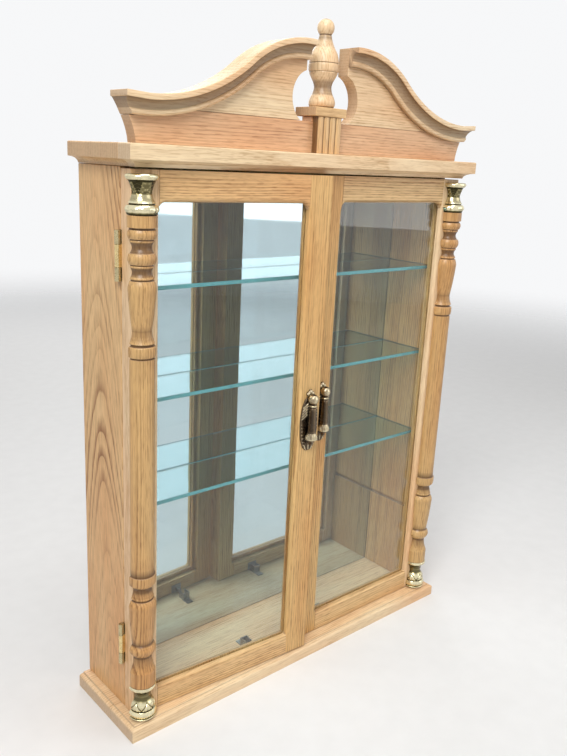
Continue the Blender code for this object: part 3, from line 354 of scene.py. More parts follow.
def oak(name, corners, tone, flat=False, grain=None, rings=1.0, grooves=False):
    # growth rings lie round a line off the board, along its grain
    cut = sawing["flat" if flat else "rift"]
    low, high = (Vector(corner) for corner in corners)
    order = sorted("XYZ", key=lambda axis: (high - low)["XYZ".index(axis)])
    grain = grain or order[2]
    across = [axis for axis in order if axis != grain]
    away = Vector((0, 0, 0))
    away["XYZ".index(across[0 if flat else 1])] = cut["depth"]
    number = next(boardNumber)
    lean = radians(cut["lean"] if number % 2 else -cut["lean"])
    aboutX, aboutY = (radians(angle) for angle in grainTurn[grain])
    turn = Matrix.Rotation(lean, 4, "X") @ Matrix.Rotation(aboutY, 4, "Y") @ Matrix.Rotation(aboutX, 4, "X")
    driftX, driftY, driftZ = oakLook["drift"]
    drift = Vector((driftX * (number % 5), driftY * (number % 3), driftZ * number))
    paint, shader, place = startMaterial(name)
    tree = paint.node_tree
    lay = {"Location": drift - turn @ ((low + high) / 2 + away), "Rotation": turn.to_euler("XYZ")}
    log = addNode(tree, "Mapping", {"Vector": place, **lay}, vector_type="POINT")[0]

    sway = vectors("SUBTRACT", noiseOf(log, *oakNoise["sway"])[1], (0.5, 0.5, 0.5))[0]
    bent = vectors("ADD", log, vectors("MULTIPLY", sway, (cut["sway"], cut["sway"], 0.0))[0])[0]
    radius = vectors("LENGTH", vectors("MULTIPLY", bent, (1.0, 1.0, 0.0))[0])["Value"]
    rise = addNode(tree, "SeparateXYZ", {0: bent})["Z"]
    if flat:
        radius = calc("ADD", radius, times(rise, oakLook["taper"]))
    years = calc("DIVIDE", radius, cut["spacing"] * rings)
    season = noiseOf(addNode(tree, "CombineXYZ", {0: years, 2: rise})[0], *oakNoise["season"])
    years = calc("ADD", years, times(season[0], oakLook["uneven"]))
    ring = times(ramp(calc("FRACT", years), oakRamps["ring"]), ramp(season[1], oakRamps["season"]))
    if flat:
        ring = times(ring, noiseRamp(log, *oakMarks["figure"]))

    streak, pore, patch = (noiseRamp(log, *oakMarks[mark]) for mark in ("streak", "pore", "patch"))
    pore = times(pore, ramp(ring, oakRamps["ringPores"]))
    dash = times(streak, ramp(ring, oakRamps["ringStreaks"]))
    deep, middle, light = oakTones[tone]
    colour = mixed(ring, light, middle)
    colour = mixed(times(dash, oakLook["streak"]), colour, deep)
    colour = mixed(times(pore, oakLook["pore"]), colour, deep)
    colour = mixed(patch, colour, oakLook["patch"], "MULTIPLY")
    facing = addNode(tree, "SeparateXYZ", {0: place.node.outputs["Normal"]})[grain]
    colour = mixed(ramp(calc("ABSOLUTE", facing), oakRamps["endGrain"]), colour, oakLook["endGrain"])
    # painted shade in grooves and hollows, where the relief attribute is low
    if grooves:
        colour = mixed(ramp(reliefOf(place), oakRamps["inGroove"]), colour, oakLook["inGroove"])
    smooth, rough = oakLook["roughness"]
    height = calc("SUBTRACT", times(streak, oakLook["streakBump"]), pore)
    feed(shader, {
        "Base Color": colour, "Roughness": calc("MULTIPLY_ADD", pore, rough - smooth, smooth),
        "Specular IOR Level": oakLook["specular"],
        "Coat Weight": oakLook["turnedCoat" if grooves else "coat"],
        "Coat Roughness": oakLook["coatRoughness"], "Normal": bumps(height, *oakLook["bump"]),
    })
    return paint


# metals

metals = {  # hollow, middle and high colours, smooth and rough, share of stains
    "stamped": ((0.042, 0.036, 0.016), (0.31, 0.262, 0.125), (0.82, 0.74, 0.49), (0.15, 0.34), 0.3),
    "antique": ((0.06, 0.044, 0.03), (0.21, 0.15, 0.092), (0.7, 0.6, 0.4), (0.2, 0.44), 0.35),
    "case hinge": ((0.1, 0.08, 0.04), (0.48, 0.4, 0.215), (0.66, 0.57, 0.34), (0.24, 0.42), 0.45),
    "door hinge": ((0.14, 0.095, 0.04), (0.7, 0.53, 0.235), (0.86, 0.7, 0.38), (0.2, 0.38), 0.3),
    "steel": ((0.07, 0.06, 0.05), (0.3, 0.28, 0.25), (0.5, 0.48, 0.45), (0.3, 0.55), 0.6),
}
metalLook = {
    "blotch": ((150.0,) * 3, 4.0, 0.6), "scuff": ((900.0,) * 3, 3.0, 0.65),
    "stain": (0.44, 0.8),  # where it starts and is full
    "heights": (0.1, 0.46, 0.9),  # of the three colours
    "scuffs": (0.3, 0.72), "wear": 0.16,
    "dull": ((0.0, 1.0), (0.6, 0.55)),  # stain is less metallic
    "spread": (0.8, 0.2),  # of the roughness, over and under its smooth end
    "bump": (0.06, 0.0001),
}


def metal(name, kind, relief=False):
    # stain gathers in faint blotches, and dark patina in the hollows, where the relief attribute is low; low
    # relief marks also hold painted shade and a painted dark reflection
    low, middle, high, (smooth, rough), cover = metals[kind]
    paint, shader, place = startMaterial(name)
    blotch, scuff = (noiseOf(place, *metalLook[mark])[0] for mark in ("blotch", "scuff"))
    dirt = ramp(blotch, zip(metalLook["stain"], (0.0, cover)))
    if relief:
        wornAndShaded = calc("ADD", reliefOf(place), times(calc("SUBTRACT", scuff, 0.5), metalLook["wear"]))
        colour = ramp(wornAndShaded, zip(metalLook["heights"], (low, middle, high)))
    else:
        colour = ramp(scuff, zip(metalLook["scuffs"], (middle, high)))
    over, under = ((rough - smooth) * share for share in metalLook["spread"])
    feed(shader, {
        "Base Color": mixed(dirt, colour, low),
        "Roughness": calc("MULTIPLY_ADD", calc("ADD", dirt, scuff), over, smooth - under),
        "Metallic": ramp(dirt, metalLook["dull"]), "Normal": bumps(scuff, *metalLook["bump"]),
    })
    return paint


# glass, mirror and hardboard

glassLook = {
    "pane": (0.93, 0.975, 0.97), "shelf": (0.68, 0.9, 0.93), "hazy": 0.97, "lamplight": 0.74, "bend": 1.48,
    "film": (((0.4, 0.0), (0.8, 1.0)), (35.0, 35.0, 18.0), 3.0),
    "smear": (((0.45, 0.0), (0.85, 0.035)), (60.0, 60.0, 24.0), 4.0, 0.6),
}
surfaces = {  # two colours mixed by a noise of a size, detail and roughness
    "shelf edge": {  # ground, so that the glass looks deep green
        "colours": ((0.06, 0.33, 0.36), (0.16, 0.52, 0.54)), "noise": ((260.0, 900.0, 900.0), 4.0, 0.6),
        "mix": ((0.35, 0.0), (0.7, 1.0)), "bump": (0.15, 0.0001),
        "plain": {"Transmission Weight": 0.3, "IOR": glassLook["bend"], "Roughness": 0.22},
    },
    "silver": {
        # the colours are tinted blue, a painted reflection of blue surroundings
        "colours": ((0.6, 0.7, 0.755), (0.44, 0.53, 0.58)), "noise": ((14.0,) * 3, 5.0, 0.62),
        "mix": ((0.5, 0.0), (0.92, 0.5)), "rough": ((0.4, 0.012), (0.9, 0.06)), "plain": {"Metallic": 1.0},
    },
    "mirror edge": {  # dark lacquer
        "colours": ((0.03, 0.028, 0.024), (0.075, 0.066, 0.052)), "noise": ((300.0,) * 3, 3.0),
        "mix": ((0.35, 0.0), (0.7, 1.0)), "rough": ((0.3, 0.45), (0.7, 0.65)),
    },
    "backing": {  # hardboard
        "colours": ((0.3, 0.2, 0.12), (0.42, 0.3, 0.19)), "noise": ((420.0,) * 3, 5.0, 0.7),
        "mix": ((0.35, 0.0), (0.7, 1.0)), "rough": ((0.3, 0.7), (0.8, 0.88)), "bump": (0.3, 0.0002),
        "fleck": (((0.62, 0.0), (0.72, 0.7)), (1300.0,) * 3), "fleckColour": (0.16, 0.1, 0.06),
    },
    "floor paper": {
        "colours": ((0.8, 0.795, 0.785), (0.83, 0.825, 0.815)), "noise": ((40.0,) * 3, 3.0),
        "mix": ((0.3, 0.0), (0.8, 1.0)), "plain": {"Roughness": 0.75},
    },
}


def surface(name):
    look = surfaces[name]
    paint, shader, place = startMaterial(name)
    speck = noiseOf(place, *look["noise"])[0]
    colour = mixed(ramp(speck, look["mix"]), *look["colours"])
    if "fleck" in look:
        colour = mixed(noiseRamp(place, *look["fleck"]), colour, look["fleckColour"])
    feed(shader, {"Base Color": colour, **look.get("plain", {})})
    if "rough" in look:
        feed(shader, {"Roughness": ramp(speck, look["rough"])})
    if "bump" in look:
        feed(shader, {"Normal": bumps(speck, *look["bump"])})
    return paint


def clearGlass(name, tint):
    # lamps shine through it
    paint, shader, place = startMaterial(name)
    hazy = [channel * glassLook["hazy"] for channel in tint]
    feed(shader, {
        "Base Color": mixed(noiseRamp(place, *glassLook["film"]), tint, hazy),
        "Roughness": noiseRamp(place, *glassLook["smear"]),
        "Transmission Weight": 1.0, "IOR": glassLook["bend"],
    })
    lamp = addNode(paint.node_tree, "LightPath", {})["Is Shadow Ray"]
    seeThrough(shader, lamp, [channel * glassLook["lamplight"] for channel in tint])
    return paint


# boards that keep the shape of their node

boards = {  # tone, flat sawn, eased edge
    "top_board": ("honey", False, 0.0005), "top_front_strip": ("pale", False, 0.0005),
    "left_side_panel": ("figured", True, 0.0006), "right_side_panel": ("brown", False, 0.0006),
    "pediment_lower_board": ("rosy", False, 0.0004), "plinth_cap": ("honey", False, 0.0008),
}
doorBoards = {
    "door_hinge_stile": ("pale", False, 0.0011), "door_meeting_stile": ("gold", False, 0.0013),
    "door_glass_stop": ("brown", False, 0.0004),
}
for hand in hands:
    boards.update({"%s_%s" % (hand, node): look for node, look in doorBoards.items()})
for node, (tone, flat, ease) in boards.items():
    makePiece(node, "dressed", easeEdges(nodeMesh(node), ease), oak(node, cutBox(node), tone, flat))
baseEdge = {"ease": 0.0004, "quirkHigh": 0.0007, "quirkLow": 0.0022, "inset": 0.004, "marks": (0.24, 0.6)}
low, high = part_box("base_board")
mesh = easeEdges(nodeMesh("base_board"), baseEdge["ease"])
marks = []
for vert in mesh.verts:
    inside = min(vert.co.x - low.x, high.x - vert.co.x, vert.co.y - low.y)
    quirk = inside > baseEdge["inset"] and baseEdge["quirkHigh"] < high.z - vert.co.z < baseEdge["quirkLow"]
    # painted shade along the quirk, where the mark is low
    marks.append(baseEdge["marks"][0 if quirk else 1])
markVerts(mesh, marks)
paint = oak("base_board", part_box("base_board"), "pale", grooves=True)
makePiece("base_board", "dressed", mesh, paint)
print("boards: %d" % (len(boards) + 1))

eased = {"panel": 0.0003, "mirror": 0.0009, "shelf": 0.0005, "pane": 0.0003}
flatFaces = {"mirror": 0.95, "shelf": 0.5}  # least share of the normal along the thickness
mesh = easeEdges(nodeMesh("back_panel"), eased["panel"])
makePiece("back_panel", "dressed", mesh, surface("backing"))


def paintEdges(mesh, axis, facing):
    # the second paint goes on the faces that hardly look along the axis
    for face in mesh.faces:
        face.material_index = int(abs(face.normal[axis]) < facing)
    return mesh


mesh = paintEdges(easeEdges(nodeMesh("back_mirror"), eased["mirror"]), 1, flatFaces["mirror"])
makePiece("back_mirror", "silvered", mesh, (surface("silver"), surface("mirror edge")))
shelfGlass = clearGlass("shelf glass", glassLook["shelf"]), surface("shelf edge")
for level in ("upper", "middle", "lower"):
    node = level + "_shelf"
    mesh = paintEdges(easeEdges(nodeMesh(node), eased["shelf"]), 2, flatFaces["shelf"])
    makePiece(node, "polished", mesh, shelfGlass)
paneGlass = clearGlass("pane glass", glassLook["pane"])
for hand in hands:
    node = hand + "_door_glass"
    makePiece(node, "polished", easeEdges(nodeMesh(node), eased["pane"]), paneGlass)
print("glass: 3 shelves, 2 panes and the mirror")


# door rails, with the round corners of the opening

rail = {
    "topCorner": 0.008, "bottomCorner": 0.003, "arris": 0.0035, "arrisSteps": 8, "rebate": 0.005,
    "steps": 12,
}


def openingEdge(x, left, right, corner, grow):
    # how far the rounded corner stands into the opening at x, for an outline grown by so much
    reach = corner + grow
    inside = max(left + corner - x, x - right + corner, 0.0)
    return corner - sqrt(max(0.0, reach ** 2 - inside ** 2))


def makeRail(hand, name, corner, upper):
    low, high = rightBox("door_" + name)
    left = rightBox("door_meeting_stile")[1].x + gap / 2
    right = rightBox("door_hinge_stile")[0].x - gap / 2
    way = 1 if upper else -1
    free = low.z + corner if upper else high.z - corner  # the straight stretch of the opening's edge
    far = high.z if upper else low.z
    seat = rightBox("door_glass")[0].y - gap
    quarter = arc(0, 90, rail["steps"])
    run = [low.x + (left + corner - low.x) * (1 - cos(a)) for a in quarter]
    run += [right - corner + (high.x - right + corner) * sin(a) for a in quarter]
    rings = []
    for x in run:
        ring = [(x, low.y, far), (x, high.y, far), (x, high.y, free + way * rail["rebate"])]
        ring += [(x, seat, free + way * rail["rebate"])]
        ring += [(x, seat, free - way * openingEdge(x, left, right, corner, 0.0))]
        for a in arc(0, 90, rail["arrisSteps"]):
            grow = rail["arris"] * (1 - cos(a))
            y = low.y + rail["arris"] * (1 - sin(a))
            ring.append((x, y, free - way * openingEdge(x, left, right, corner, grow)))
        rings.append(ring)
    node = "%s_door_%s" % (hand, name)
    makeDoorPiece(hand, node, "dressed", skin(rings), oak(node, cutBox(node), "honey"), smooth=35, even=True)


for hand in hands:
    makeRail(hand, "top_rail", rail["topCorner"], True)
    makeRail(hand, "bottom_rail", rail["bottomCorner"], False)
print("rails: 4")


# turned work: each stretch is a length, the radius at its end and a bulge, in millimetres

mm = 0.001


def turnedProfile(start, stretches, height, way=1, fine=10):
    profile, radius = [(start, height)], start
    for stretch in stretches:
        length, end, swell = (size * mm for size in stretch)
        steps = fine if swell else 1
        for i in range(1, steps + 1):
            t = i / steps
            bulge = swell * sin(pi * t)
            profile.append((radius + (end - radius) * t + bulge, height + way * length * t))
        radius = end
        height += way * length
    return profile


def finer(profile, longest=0.0006):
    # adds points, so that relief has something to move
    dense = [profile[0]]
    for (r0, z0), (r1, z1) in zip(profile, profile[1:]):
        steps = max(1, ceil(hypot(r1 - r0, z1 - z0) / longest))
        dense += [(r0 + (r1 - r0) * i / steps, z0 + (z1 - z0) * i / steps) for i in range(1, steps + 1)]
    return dense


def hollows(profile, reaches):
    # how far each point lies under its near and its wider neighbourhood, below 0 in a groove
    depths = []
    for radius, height in profile:
        depth = 0.0
        for reach, share in reaches:
            near = [r for r, z in profile if abs(z - height) < reach]
            depth += share * (radius - sum(near) / len(near))
        depths.append(depth)
    return depths


groove = ((0.0018, 1.0), (0.0075, 0.36))  # reach and share of each neighbourhood; a groove gets painted shade on wood and dark patina on brass


def spun(profile, x, y, steps, half=False, relief=None, tone=None, span=0.0016, reaches=groove):
    # relief adds to the radius at an angle and a height, and tone sets the mark of a plain place
    angles = arc(0, 180, steps) if half else arc(0, 360, steps)[:-1]
    facing = -1 if half else 1
    rings, marks = [], []
    for (radius, height), hollow in zip(profile, hollows(profile, reaches)):
        ring = []
        for a in angles:
            lift = relief(a, height) if relief else 0.0
            reach = radius + lift
            ring.append((x + reach * cos(a), y + facing * reach * sin(a), height))
            # the mark drops in grooves and hollows, which the materials paint darker
            marks.append((tone(a, height) if tone else 0.5) + (lift + hollow) / span)
        rings.append(ring)
    mesh = skin(rings)
    markVerts(mesh, marks)
    return mesh


def bandTone(height, look, form):
    # the mark of a plain place, changed in bands, and more in them where a form stands out
    tone = look["ground"]
    for change, more, *ends in look["tones"]:
        tone += (change + more * form) * within(height, *ends)
    return tone


def ballProfile(radius, middle, start, end, steps):
    return [(radius * cos(a), middle + radius * sin(a)) for a in arc(start, end, steps)]


column = {
    "start": 0.0132, "foot": 0.0128, "shaft": 0.0118, "shaftStep": 0.004, "shoulder": 0.0005,
    "waist": (0.018, 0.1),  # reach and share of the painted shade in the long hollows
    "steps": 40,
    "upper": (  # down from the capital: drum, bead, cove, bead, cove, vase and band, with lines between
        (9.8, 13.2, 0), (0.4, 11.2, 0), (1.2, 11, 0), (0.4, 12.2, 0), (7.4, 11.8, 1.2), (0.3, 10.6, 0),
        (0.8, 10.6, 0), (1.9, 10.2, 0.5), (8.8, 10.7, -1.7), (0.3, 11.9, 0), (9, 11.4, 1.3), (0.3, 10.3, 0),
        (0.9, 10.3, 0), (1.8, 10, 0.6), (8, 10.4, -1.5), (1.6, 10.6, 0.3), (0.3, 9.8, 0), (0.8, 9.8, 0),
        (0.3, 11.2, 0), (10, 12.7, 0.8), (33, 9, 0.4), (11, 11.7, -0.6), (0.4, 10.4, 0), (1.6, 10.4, 0),
        (0.5, 11.8, 0), (1.2, 12.6, 0.2), (7.3, 12.5, 0.3), (1.2, 11.8, 0.2), (0.4, 10.8, 0),
        (0.9, 10.8, 0),
    ),
    "lower": (  # up from the foot: drum, trumpet, bead, vase, collar and band, with lines between
        (15.7, 12.8, 0), (15, 9.2, -0.8), (0.6, 9, 0), (1.4, 9.6, 0), (13.5, 10.4, 3.4), (38.5, 13.6, 0.4),
        (8.5, 11.5, 1), (0.4, 10.3, 0), (1, 10.3, 0), (0.4, 10.9, 0), (2.3, 10.7, 0.3), (7.4, 8.7, 0),
        (2.7, 9.8, 0), (0.3, 10.6, 0), (2.8, 12.9, 0.4), (8.4, 13.2, 0.3),
    ),
}


def makeColumn(hand):
    low, high = rightBox("column")
    x, y = (low.x + high.x) / 2, high.y
    lower = finer(turnedProfile(column["foot"], column["lower"], low.z))
    upper = finer(turnedProfile(column["start"], column["upper"], high.z, -1))
    shaft = [(column["shaft"], lower[-1][1] + column["shoulder"])]
    shaft.append((column["shaft"], upper[-1][1] - column["shoulder"]))
    profile = lower + finer(shaft, column["shaftStep"]) + upper[::-1]
    mesh = spun(profile, x, y, column["steps"], True, reaches=(*groove, column["waist"]))
    node = hand + "_column"
    paint = oak(node, cutBox(node), "brown", rings=0.8, grooves=True)
    makeDoorPiece(hand, node, "turned", mesh, paint, smooth=28)


# stamped brass capitals and feet

capital = {
    "start": 0.0128,
    "stretches": (  # up: lip, draped roll, groove, bell, waist, shield cup and rim
        (1.6, 13.6, 0.2), (6.6, 13.2, 1.6), (0.4, 11.4, 0), (0.8, 11.4, 0), (0.3, 12.2, 0), (7, 9, -0.6),
        (2.4, 8.8, -0.2), (8.8, 12.2, -0.4), (0.9, 13.6, 0.4), (4.2, 13.6, 1.2),
    ),
    "shields": (pi / 4, 3 * pi / 4),
    "shieldFoot": 16.6,  # millimetres above the capital's foot
    "shieldHead": 27.0,
    "shieldWide": 0.44,  # radians to each side
    "bars": (25.2, 22.2, 19.6),  # ridges across the shield
    "barSlope": 4.0, "barThick": 0.5,
    "curls": ((0.6, 25.4), (0.47, 22.4), (0.68, 20.4), (0.42, 18.6)),  # beside it
    "curlSize": (0.09, 0.85), "edge": 0.06,
    "boldest": (0.4, 0.34),  # where the shield's edge is
    "slope": (-0.03, 0.05),  # from the ground into the shield
    "depths": (0.4, -0.4, 0.5, 0.5, -0.15),  # of edge, shield, bars, curls and ground
    "cup": ((15.8, 17.2), (26.8, 28.0)),  # where the chasing begins and ends
    "bow": (5.0, 2.1),
    "bows": ((0.16, 0.0, 0.16), (-0.3, 0.24, 0.08)),  # depth, place and width
    "drape": (3.4, 1.6, 0.22, 14),  # middle, width, depth and waves of a band
    "rim": (30.4, 2.0, 0.24, 6), "toneSlope": (-0.05, 0.05), "ground": 0.86,
    "tones": (  # of cup and roll: change, change on a shield, start and end; a painted dark reflection in the cup and painted shade under the roll
        (-0.27, -0.12, (15.6, 17.4), (27.4, 29.2)), (-0.62, 0.0, (-9.0, -8.0), (1.2, 3.6)),
    ),
    "underRim": (27.8, 0.9), "steps": 120,
}
foot = {
    "start": 0.013,
    "stretches": (  # up: ring, pleated roll, groove, leaf bulb, neck, cup and rim
        (1.4, 13.4, 0.4), (0.4, 12.4, 0), (7.2, 13, 1.4), (0.4, 11.4, 0), (0.8, 12, 0), (9.8, 8.8, 1.4),
        (4.4, 8.7, -0.4), (7.6, 12.2, -0.8), (0.6, 13.2, 0.1), (3.4, 13.1, 0.5),
    ),
    "leaves": 3,
    "leafTop": 18.0,  # millimetres above the foot's lower end
    "leafFall": 7.6, "leafEdge": 0.8, "leafSlope": (0.0, 1.6), "veins": ((0.0, 0.16), (0.5, 0.12)),
    "depths": (0.5, -0.4, -0.45),  # of leaf, veins and edge
    "bulb": ((9.6, 10.8), (18.4, 20.4)),
    "lumps": (6.6, 1.8, 0.22, 12),  # middle, width, depth and waves of a band
    "pleats": (3.6, 1.7, 0.26, 34), "twist": (34.0, 1.8, 0.22, 14),
    "lean": 0.9 / 14,  # of the twist, in radians to a millimetre
    "ground": 0.84,
    "tones": (  # of neck, bulb and ring: change, change on a leaf's edge, start and end
        (-0.3, 0.0, (18.6, 20.0), (31.0, 32.4)), (-0.22, -0.3, (9.2, 10.4), (18.6, 20.0)),
        (-0.25, 0.0, (-9.0, -8.0), (1.0, 2.2)),
    ),
    "underRim": (31.4, 1.4), "steps": 144,
}
rimShade = 0.3


def capitalShape(low):
    def spots(a, z):
        h = (z - low) / mm
        near = min(abs(a - middle) for middle in capital["shields"])
        up = (h - capital["shieldFoot"]) / (capital["shieldHead"] - capital["shieldFoot"])
        wide = capital["shieldWide"] * sqrt(max(0.0, up)) if up < 1 else 0.0
        return h, near, wide

    def relief(a, z):
        h, near, wide = spots(a, z)
        inside = smoothStep(*capital["slope"], wide - near)
        edge = bump(near, wide, capital["edge"]) * bump(wide, *capital["boldest"])
        bars = inside * sum(
            bump(h, up - capital["barSlope"] * near, capital["barThick"]) for up in capital["bars"])
        acrossCurl, upCurl = capital["curlSize"]
        curls = sum(bump(near, out, acrossCurl) * bump(h, up, upCurl) for out, up in capital["curls"])
        chased = sum(depth * form for depth, form in zip(capital["depths"], (edge, inside, bars, curls, 1)))
        bow = sum(depth * bump(near, out, width) for depth, out, width in capital["bows"])
        bands = waves(h, near, capital["drape"]) + waves(h, near, capital["rim"])
        return (within(h, *capital["cup"]) * chased + bump(h, *capital["bow"]) * bow + bands) * mm

    def tone(a, z):
        h, near, wide = spots(a, z)
        inside = smoothStep(*capital["toneSlope"], wide - near)
        return bandTone(h, capital, inside) - rimShade * bump(h, *capital["underRim"])
    return relief, tone


def footShape(low):
    def spots(a, z):
        # height in millimetres, 0 on a leaf's middle to 1 between two, how far up its edge is, and the edge
        h = (z - low) / mm
        side = abs((a * foot["leaves"] / pi) % 1 - 0.5) * 2
        fall = foot["leafTop"] - foot["leafFall"] * side - h
        return h, side, fall, bump(fall, 0.0, foot["leafEdge"])

    def relief(a, z):
        h, side, fall, edge = spots(a, z)
        leaf = smoothStep(*foot["leafSlope"], fall)
        vein = sum(bump(side, *place) for place in foot["veins"])
        carving = sum(depth * form for depth, form in zip(foot["depths"], (leaf, leaf * vein, edge)))
        bands = waves(h, a, foot["lumps"]) + waves(h, a, foot["pleats"])
        bands += waves(h, a + foot["lean"] * h, foot["twist"])
        return (bands + within(h, *foot["bulb"]) * carving) * mm

    def tone(a, z):
        h, side, fall, edge = spots(a, z)
        return bandTone(h, foot, edge) - rimShade * bump(h, *foot["underRim"])
    return relief, tone


def makeStamping(hand, name, look, shapeOf):
    low, high = rightBox(name)
    profile = finer(turnedProfile(look["start"], look["stretches"], low.z), stampedStep)
    relief, tone = shapeOf(low.z)
    mesh = spun(profile, (low.x + high.x) / 2, high.y, look["steps"], True, relief, tone)
    makeDoorPiece(hand, "%s_%s" % (hand, name), "stamped", mesh, stampedBrass, smooth=50)


stampedStep = 0.0004
stampedBrass = metal("stamped brass", "stamped", True)
for hand in hands:
    makeColumn(hand)
    makeStamping(hand, "column_capital", capital, capitalShape)
    makeStamping(hand, "column_foot", foot, footShape)
print("columns: 2, with their capitals and feet")


# pediment

pediment = {
    "seam": 0.0292,  # heights above the top
    "lowInset": 0.0071, "low": 0.0387, "lowRadius": 0.16, "peakX": 0.034, "peak": 0.1002,
    "innerEnd": 0.027, "lobeIn": 0.006, "lobeWide": 0.0223, "lobeRise": 0.0212, "lobeUnder": 60.0,
    "steps": 48, "ease": 0.0006,
    "shortest": 0.0001,  # edge that is eased
    "taper": 0.0018,  # of the hollowed end at its foot
    "hollow": 1.65,
}
moulding = {
    "out": 0.0133, "band": 0.005, "cove": 0.0072, "quirk": 0.001, "bead": 0.0049, "beadOut": 0.0053,
    "beadSwell": 0.0016, "ease": 0.0007,
    # marks: painted shade in the cove under the band, under the bead and on its back
    "marks": {"top": 0.6, "edge": 0.7, "cove": (0.03, 0.19), "bead": (0.34, 0.3), "back": 0.1},
}
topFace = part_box("top_board")[1].z
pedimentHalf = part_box("pediment_right_board")[1].x


def scrollCurve():
    # points and normals of the right scroll's upper edge, from its outer end to its inner end
    lowX = pedimentHalf - pediment["lowInset"]
    run, rise = lowX - pediment["peakX"], pediment["peak"] - pediment["low"]
    slope = 2 * atan2(rise, run)
    highRadius = run / sin(slope) - pediment["lowRadius"]
    outer = degrees(asin(pediment["lowInset"] / pediment["lowRadius"]))
    inner = degrees(asin((pediment["innerEnd"] - pediment["peakX"]) / highRadius))
    lower = arc(outer, -degrees(slope), pediment["steps"])
    upper = arc(degrees(slope), inner, pediment["steps"])[1:]
    curve = []
    for angles, way, radius, x, z in (
            (lower, 1, pediment["lowRadius"], lowX, pediment["low"]),
            (upper, -1, highRadius, pediment["peakX"], pediment["peak"])):
        for a in angles:
            point = x + radius * sin(a), topFace + z + way * radius * (1 - cos(a))
            curve.append((point, (-way * sin(a), cos(a))))
    return curve


def scrollHeight(x):
    # of the right scroll's upper edge, near its outer end
    lean = asin((x - pedimentHalf + pediment["lowInset"]) / pediment["lowRadius"])
    return topFace + pediment["low"] + pediment["lowRadius"] * (1 - cos(lean))


def mouldingSection():
    # (out, up, mark) points: a band with eased corners over a cove and a bead; the low marks are painted
    # shade in the cove, under the bead and behind it
    out, ease, band = moulding["out"], moulding["ease"], moulding["band"]
    marks, corner = moulding["marks"], arc(0, 90, 4)
    section = [(gap, 0.0, marks["top"])]
    section += [(out - ease + ease * sin(a), ease * cos(a) - ease, marks["edge"]) for a in corner]
    for a in corner:
        section.append((out - ease + ease * cos(a), ease - band - ease * sin(a), marks["top"]))
    start, under = out - moulding["quirk"], -band - moulding["cove"]
    low, more = marks["cove"]
    for a in arc(0, 90, 12):
        depth = (start - moulding["beadOut"]) * sin(a)
        section.append((start - depth, under + moulding["cove"] * cos(a), low + more * sin(a)))
    low, more = marks["bead"]
    for a in arc(0, 180, 10)[1:]:
        swell = moulding["beadSwell"] * sin(a)
        fall = moulding["bead"] * a / pi
        section.append((moulding["beadOut"] + swell, under - fall, low + more * sin(a)))
    return section + [(gap, under - moulding["bead"], marks["back"])]


def endCorner(out, up):
    # (x, z) on the pediment's hollowed end for a point of the moulding's section
    if gap < out and up < -moulding["band"]:
        foot = topFace + gap
        band = scrollHeight(pedimentHalf + moulding["out"]) - moulding["band"]
        rise = (scrollHeight(pedimentHalf + out) + up - foot) / (band - foot)
        reach = moulding["out"] - moulding["quirk"] + pediment["taper"]
        out = reach * rise ** pediment["hollow"] - pediment["taper"]
    return pedimentHalf + out, scrollHeight(pedimentHalf + out) + up


def makeScroll(hand):
    low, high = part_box("pediment_right_board")
    curve, section = scrollCurve(), mouldingSection()
    seam = topFace + pediment["seam"] + gap
    lobeX, lobeZ = pediment["innerEnd"] - pediment["lobeIn"], seam + pediment["lobeRise"]
    tall = pediment["lobeRise"] / sin(radians(pediment["lobeUnder"]))
    first = degrees(acos(pediment["lobeIn"] / pediment["lobeWide"]))
    outline = [(pedimentHalf, seam)] + [point for point, normal in curve]
    for a in arc(first, -pediment["lobeUnder"], pediment["steps"]):
        outline.append((lobeX + pediment["lobeWide"] * cos(a), lobeZ + tall * sin(a)))
    board = skin([[(x, y, z) for x, z in outline] for y in (low.y, high.y)])
    easeEdges(board, pediment["ease"], pediment["shortest"], 60)

    rings = [[(pediment["innerEnd"], low.y - out, curve[-1][0][1] + up) for out, up, mark in section]]
    for (x, z), (nx, nz) in reversed(curve[3:-1]):
        rings.append([(x + nx * up, low.y - out, z + nz * up) for out, up, mark in section])
    corner = [(*endCorner(out, up), low.y - out) for out, up, mark in section]
    rings.append([(x, y, z) for x, z, y in corner])
    rings.append([(x, high.y, z) for x, z, y in corner])
    crown = skin(rings)
    markVerts(crown, [mark for ring in rings for out, up, mark in section])
    if hand == "left":
        mirrorMesh(board)
        mirrorMesh(crown)
    node = "pediment_%s_board" % hand
    makePiece(node, "sawn", board, oak(node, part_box(node), "pale"), smooth=35)
    node = hand + "_scroll_moulding"
    paint = oak(node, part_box(node), "pale", grooves=True)
    makePiece(node, "bent", crown, paint, smooth=35, even=False)


pilaster = {"half": 0.016, "reeds": 4, "rise": 0.0016, "edge": 9.0, "marks": (1.3, -0.35)}


def makePilaster():
    low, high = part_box("fluted_pilaster")
    width = pilaster["half"] * 2 / pilaster["reeds"]
    face = low.y + pilaster["rise"]
    outline = [(-pilaster["half"], high.y)]
    for i in range(pilaster["reeds"]):
        start = i * width - pilaster["half"]
        for a in arc(pilaster["edge"], 180 - pilaster["edge"], 12):
            outline.append((start + width / 2 * (1 - cos(a)), face - pilaster["rise"] * sin(a)))
    outline.append((pilaster["half"], high.y))
    mesh = skin([[(x, y, z) for x, y in outline] for z in (low.z, high.z)])
    more, least = pilaster["marks"]
    # painted shade between the reeds, where the marks are low
    markVerts(mesh, [more * (face - vert.co.y) / pilaster["rise"] + least for vert in mesh.verts])
    paint = oak("pilaster", (low, high), "honey", grain="Z", rings=0.7, grooves=True)
    makePiece("fluted_pilaster", "reeded", mesh, paint, smooth=35)


